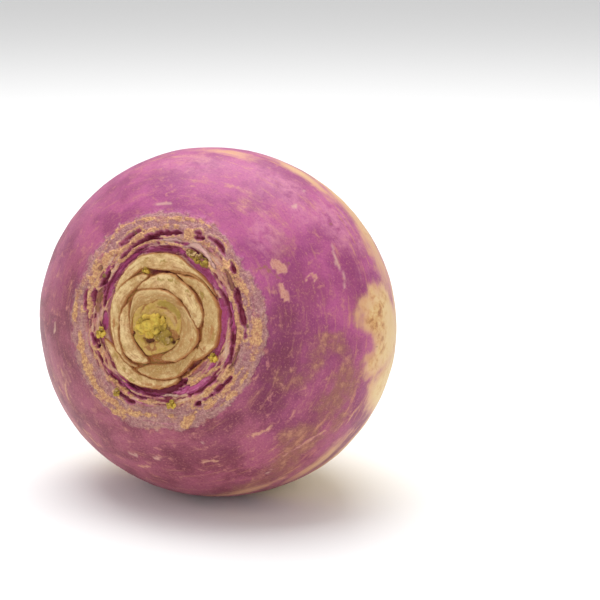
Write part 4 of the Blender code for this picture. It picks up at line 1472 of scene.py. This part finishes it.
@dataclass(frozen=True)
class Crumb:
    """One lump of young leaf: its middle, its half sizes, how far it has dried (a value that also carries
    painted shade), and what sets its random shape.
    """

    middle: tuple[float, float, float]
    half: tuple[float, float, float]
    dry: float
    seed: int


def crumb_piece(name: str, crumbs: Sequence[Crumb], rosette: Rosette, roundness: int = 3) -> Piece:
    """Heaps crumbs into one piece.

    Args:
        name: The piece's name.
        crumbs: The lumps, placed in the rosette.
        rosette: The rosette that they stand in.
        roundness: How often each lump's faces are halved.

    Returns:
        The heap.
    """
    shape = bmesh.new()
    owner: list[int] = []
    for index, crumb in enumerate(crumbs):
        lump = bmesh.ops.create_icosphere(shape, subdivisions=roundness, radius=1)["verts"]
        bmesh.ops.scale(shape, verts=lump, vec=crumb.half)
        bmesh.ops.translate(shape, verts=lump, vec=crumb.middle)
        owner += [index] * len(lump)
    piece = Piece.of(name, shape)
    points, facing = piece.points, piece.normals
    sizes = np.array([min(crumb.half) for crumb in crumbs])[owner]
    seeds = np.array([crumb.seed for crumb in crumbs])[owner]
    creases = 0.9 * np.abs(Grain(0.7, 91).rough(points, 2))
    lumps = Grain(1.1, 90).rough(points + 3.7 * seeds[:, None], 4) - creases
    points = points + facing * (0.55 * np.minimum(sizes, 1.2) * lumps)[:, None]
    piece.note("strand", points)
    dryness_and_shade = np.array([crumb.dry for crumb in crumbs])[owner]
    # Drier where each lump dips, so olive and brown fill the hollows: painted shade, over the crumbs' own
    # drying.
    piece.note("dry", np.clip(dryness_and_shade - 0.5 * lumps, 0, 1))
    piece.points = rosette.to_axes(points[:, :2], points[:, 2])
    return piece


@dataclass(frozen=True)
class HeartBud:
    """The heap of young leaf crumbs on the heart: each one's place, half size, rise and how far it has dried,
    which on the lower right lumps also paints shade.
    """

    foot: float = 30.5
    lumps: tuple[tuple[Spot, float, float, float], ...] = (
        ((-5.2, 0.3), 1.5, 0.2, 0.4),
        ((-5.0, -1.7), 1.9, 0.3, 0.25),
        ((-3.6, 0.7), 1.6, 0.5, 0.35),
        ((-3.0, -1.0), 2.0, 0.7, 0.2),
        ((-3.4, -2.9), 1.4, 0.2, 0.3),
        ((-1.4, 0.4), 1.6, 0.8, 0.0),
        ((-1.2, -1.6), 1.6, 0.7, 0.3),
        ((0.3, 0.0), 1.1, 0.5, 0.1),
        ((0.6, -1.4), 1.2, 0.4, 0.4),
        # These lower right lumps are set drier and darker olive: partly real drying, partly painted shade on
        # the heap's lower right lobe.
        ((1.5, -2.2), 0.9, 0.1, 0.7),
        ((1.0, -3.5), 1.8, 0.1, 0.65),
        ((1.1, -4.6), 1.5, 0.0, 0.7),
        ((-0.4, -3.7), 1.4, 0.2, 0.6),
        ((-6.3, -0.5), 0.9, 0.1, 0.4),
    )

    def crumbs(self) -> list[Crumb]:
        """Sets the crumbs out, each a little different in shape."""
        heap = []
        for index, (place, size, rise, dry) in enumerate(self.lumps):
            stretch = 1 + 0.2 * math.sin(7 * index)
            half = (size * stretch, size / stretch, 0.8 * size)
            heap.append(Crumb((*place, self.foot + rise), half, dry, index))
        return heap


@dataclass(frozen=True)
class SideBud:
    """A small bud beside the rosette: its place, foot, radius and height, and how dry it is."""

    node: str
    place: Spot
    foot: float
    radius: float
    height: float
    dry: float
    stretch: Spot = (1.0, 1.1)
    scales: int = 6
    turn: float = 0.0

    def crumbs(self) -> list[Crumb]:
        """Stacks the bud's scales round its middle."""
        wide, deep = self.radius * self.stretch[0], self.radius * self.stretch[1]
        thick = 0.5 * self.height
        core = (0.6 * self.radius, 0.6 * self.radius, thick)
        heap = [Crumb((*self.place, self.foot + thick), core, self.dry, 7)]
        for index in range(self.scales):
            angle = index * GOLDEN_ANGLE + 0.4
            out = 0.25 + 0.6 * math.sqrt((index + 0.5) / self.scales)
            along, across = out * wide * math.cos(angle), out * deep * math.sin(angle)
            x = self.place[0] + along * math.cos(self.turn) - across * math.sin(self.turn)
            y = self.place[1] + along * math.sin(self.turn) + across * math.cos(self.turn)
            height = self.foot + self.height * (0.35 + 0.25 * (index % 2) + 0.1 * math.sin(3 * index))
            size = 0.55 * self.radius * (1 + 0.25 * math.sin(5 * index))
            dry = min(1.0, max(0.0, self.dry + 0.3 * math.sin(2.4 * index)))
            heap.append(Crumb((x, y, height), (size, size, 0.3 * self.height), dry, index))
        return heap


SIDE_BUDS = (
    SideBud("side_bud_1", (-5.3, 12.5), 27.4, 1.05, 3.0, 0.25, (0.9, 1.0)),
    SideBud("side_bud_2", (-17.6, -2.9), 29.1, 1.2, 1.9, 0.3),
    SideBud("side_bud_3", (13.3, -9.1), 27.4, 1.1, 3.2, 0.15),
    SideBud("side_bud_4", (2.3, -20.6), 29.2, 1.1, 1.9, 0.35, (1.2, 0.9)),
    SideBud("side_bud_5", (-13.1, -17.8), 29.3, 0.8, 1.5, 0.6),
    SideBud("side_bud_6", (9.2, 15.5), 28.7, 1.1, 1.4, 0.8, (3.9, 0.85), 30, math.radians(-30)),
)


# ---------------------------------------------------------------- the studio


@dataclass(frozen=True)
class Studio:
    """A pale floor, soft light and the camera."""

    azimuth: float = math.radians(27)
    elevation: float = math.radians(15)
    distance: float = 0.444
    centre: tuple[float, float, float] = (0.0, 0.0, 0.045)
    lens: float = 100.0
    film: float = 36.0
    swing: float = math.radians(-2.86)
    dip: float = math.radians(-0.69)
    half_floor: float = 6.0
    daylight: float = 0.66

    def camera(self) -> None:
        """Stands the camera in front of the crown, aimed a little past the turnip."""
        data = bpy.data.cameras.new("camera")
        data.lens = self.lens
        data.sensor_width = self.film
        data.clip_start = 0.01
        camera = bpy.data.objects.new("camera", data)
        back = Vector(
            (
                math.sin(self.azimuth) * math.cos(self.elevation),
                -math.cos(self.azimuth) * math.cos(self.elevation),
                math.sin(self.elevation),
            )
        )
        camera.location = Vector(self.centre) + back * self.distance
        camera.rotation_euler = (math.pi / 2 - self.elevation - self.dip, 0, self.azimuth + self.swing)
        bpy.context.scene.collection.objects.link(camera)
        bpy.context.scene.camera = camera

    def floor(self) -> None:
        """Lays a wide pale floor under the turnip."""
        shape = bmesh.new()
        bmesh.ops.create_grid(shape, x_segments=1, y_segments=1, size=self.half_floor)
        mesh = bpy.data.meshes.new("floor")
        shape.to_mesh(mesh)
        shape.free()
        bench = Bench("studio_floor")
        mesh.materials.append(bench.finish(Base_Color=(0.9, 0.9, 0.9), Roughness=0.9))
        floor = bpy.data.objects.new("floor", mesh)
        bpy.context.scene.collection.objects.link(floor)

    def lamp(self, name: str, place: tuple[float, float, float], size: float, power: float) -> None:
        """Hangs a square soft lamp that faces the turnip."""
        data = bpy.data.lights.new(name, "AREA")
        data.shape = "SQUARE"
        data.size = size
        data.energy = power
        lamp = bpy.data.objects.new(name, data)
        lamp.location = place
        lamp.rotation_euler = (Vector(place) - Vector(self.centre)).to_track_quat("Z", "Y").to_euler()
        bpy.context.scene.collection.objects.link(lamp)

    def build(self) -> None:
        """Sets everything up."""
        world = bpy.data.worlds.new("studio")
        world.use_nodes = True
        background = world.node_tree.nodes["Background"]
        background.inputs["Color"].default_value = (1, 1, 1, 1)
        background.inputs["Strength"].default_value = self.daylight
        bpy.context.scene.world = world
        bpy.context.scene.view_settings.view_transform = "Standard"
        self.floor()
        self.camera()
        self.lamp("key", (-0.12, 0.15, 0.9), 0.9, 9.4)
        self.lamp("fill", (0.4, -0.95, 0.14), 0.9, 2.3)


def main() -> None:
    """Builds every piece in order."""
    shape = RootShape()
    axes = Axes(shape)
    rosette = Rosette()
    Root(shape, Crown(rosette), Skin()).dress(axes)
    stalk_finish = CutStalkFinish().material()
    for stalk in CUT_STALKS:
        stalk.build(rosette).lay_down(axes, stalk_finish, "cut_leaf_base", stalk.nodes)
    HeartCore().build(rosette).lay_down(axes, PithFinish().material(), "heart_flesh", ["heart_core"])
    bud_finish = BudFinish().material()
    heart = crumb_piece("heart_crumbs", HeartBud().crumbs(), rosette)
    heart.lay_down(axes, bud_finish, "bud_green", ["heart_bud"])
    for bud in SIDE_BUDS:
        piece = crumb_piece(bud.node.replace("side_bud", "bud"), bud.crumbs(), rosette)
        piece.lay_down(axes, bud_finish, "bud_green", [bud.node])
    Studio().build()


if __name__ == "__main__":
    main()
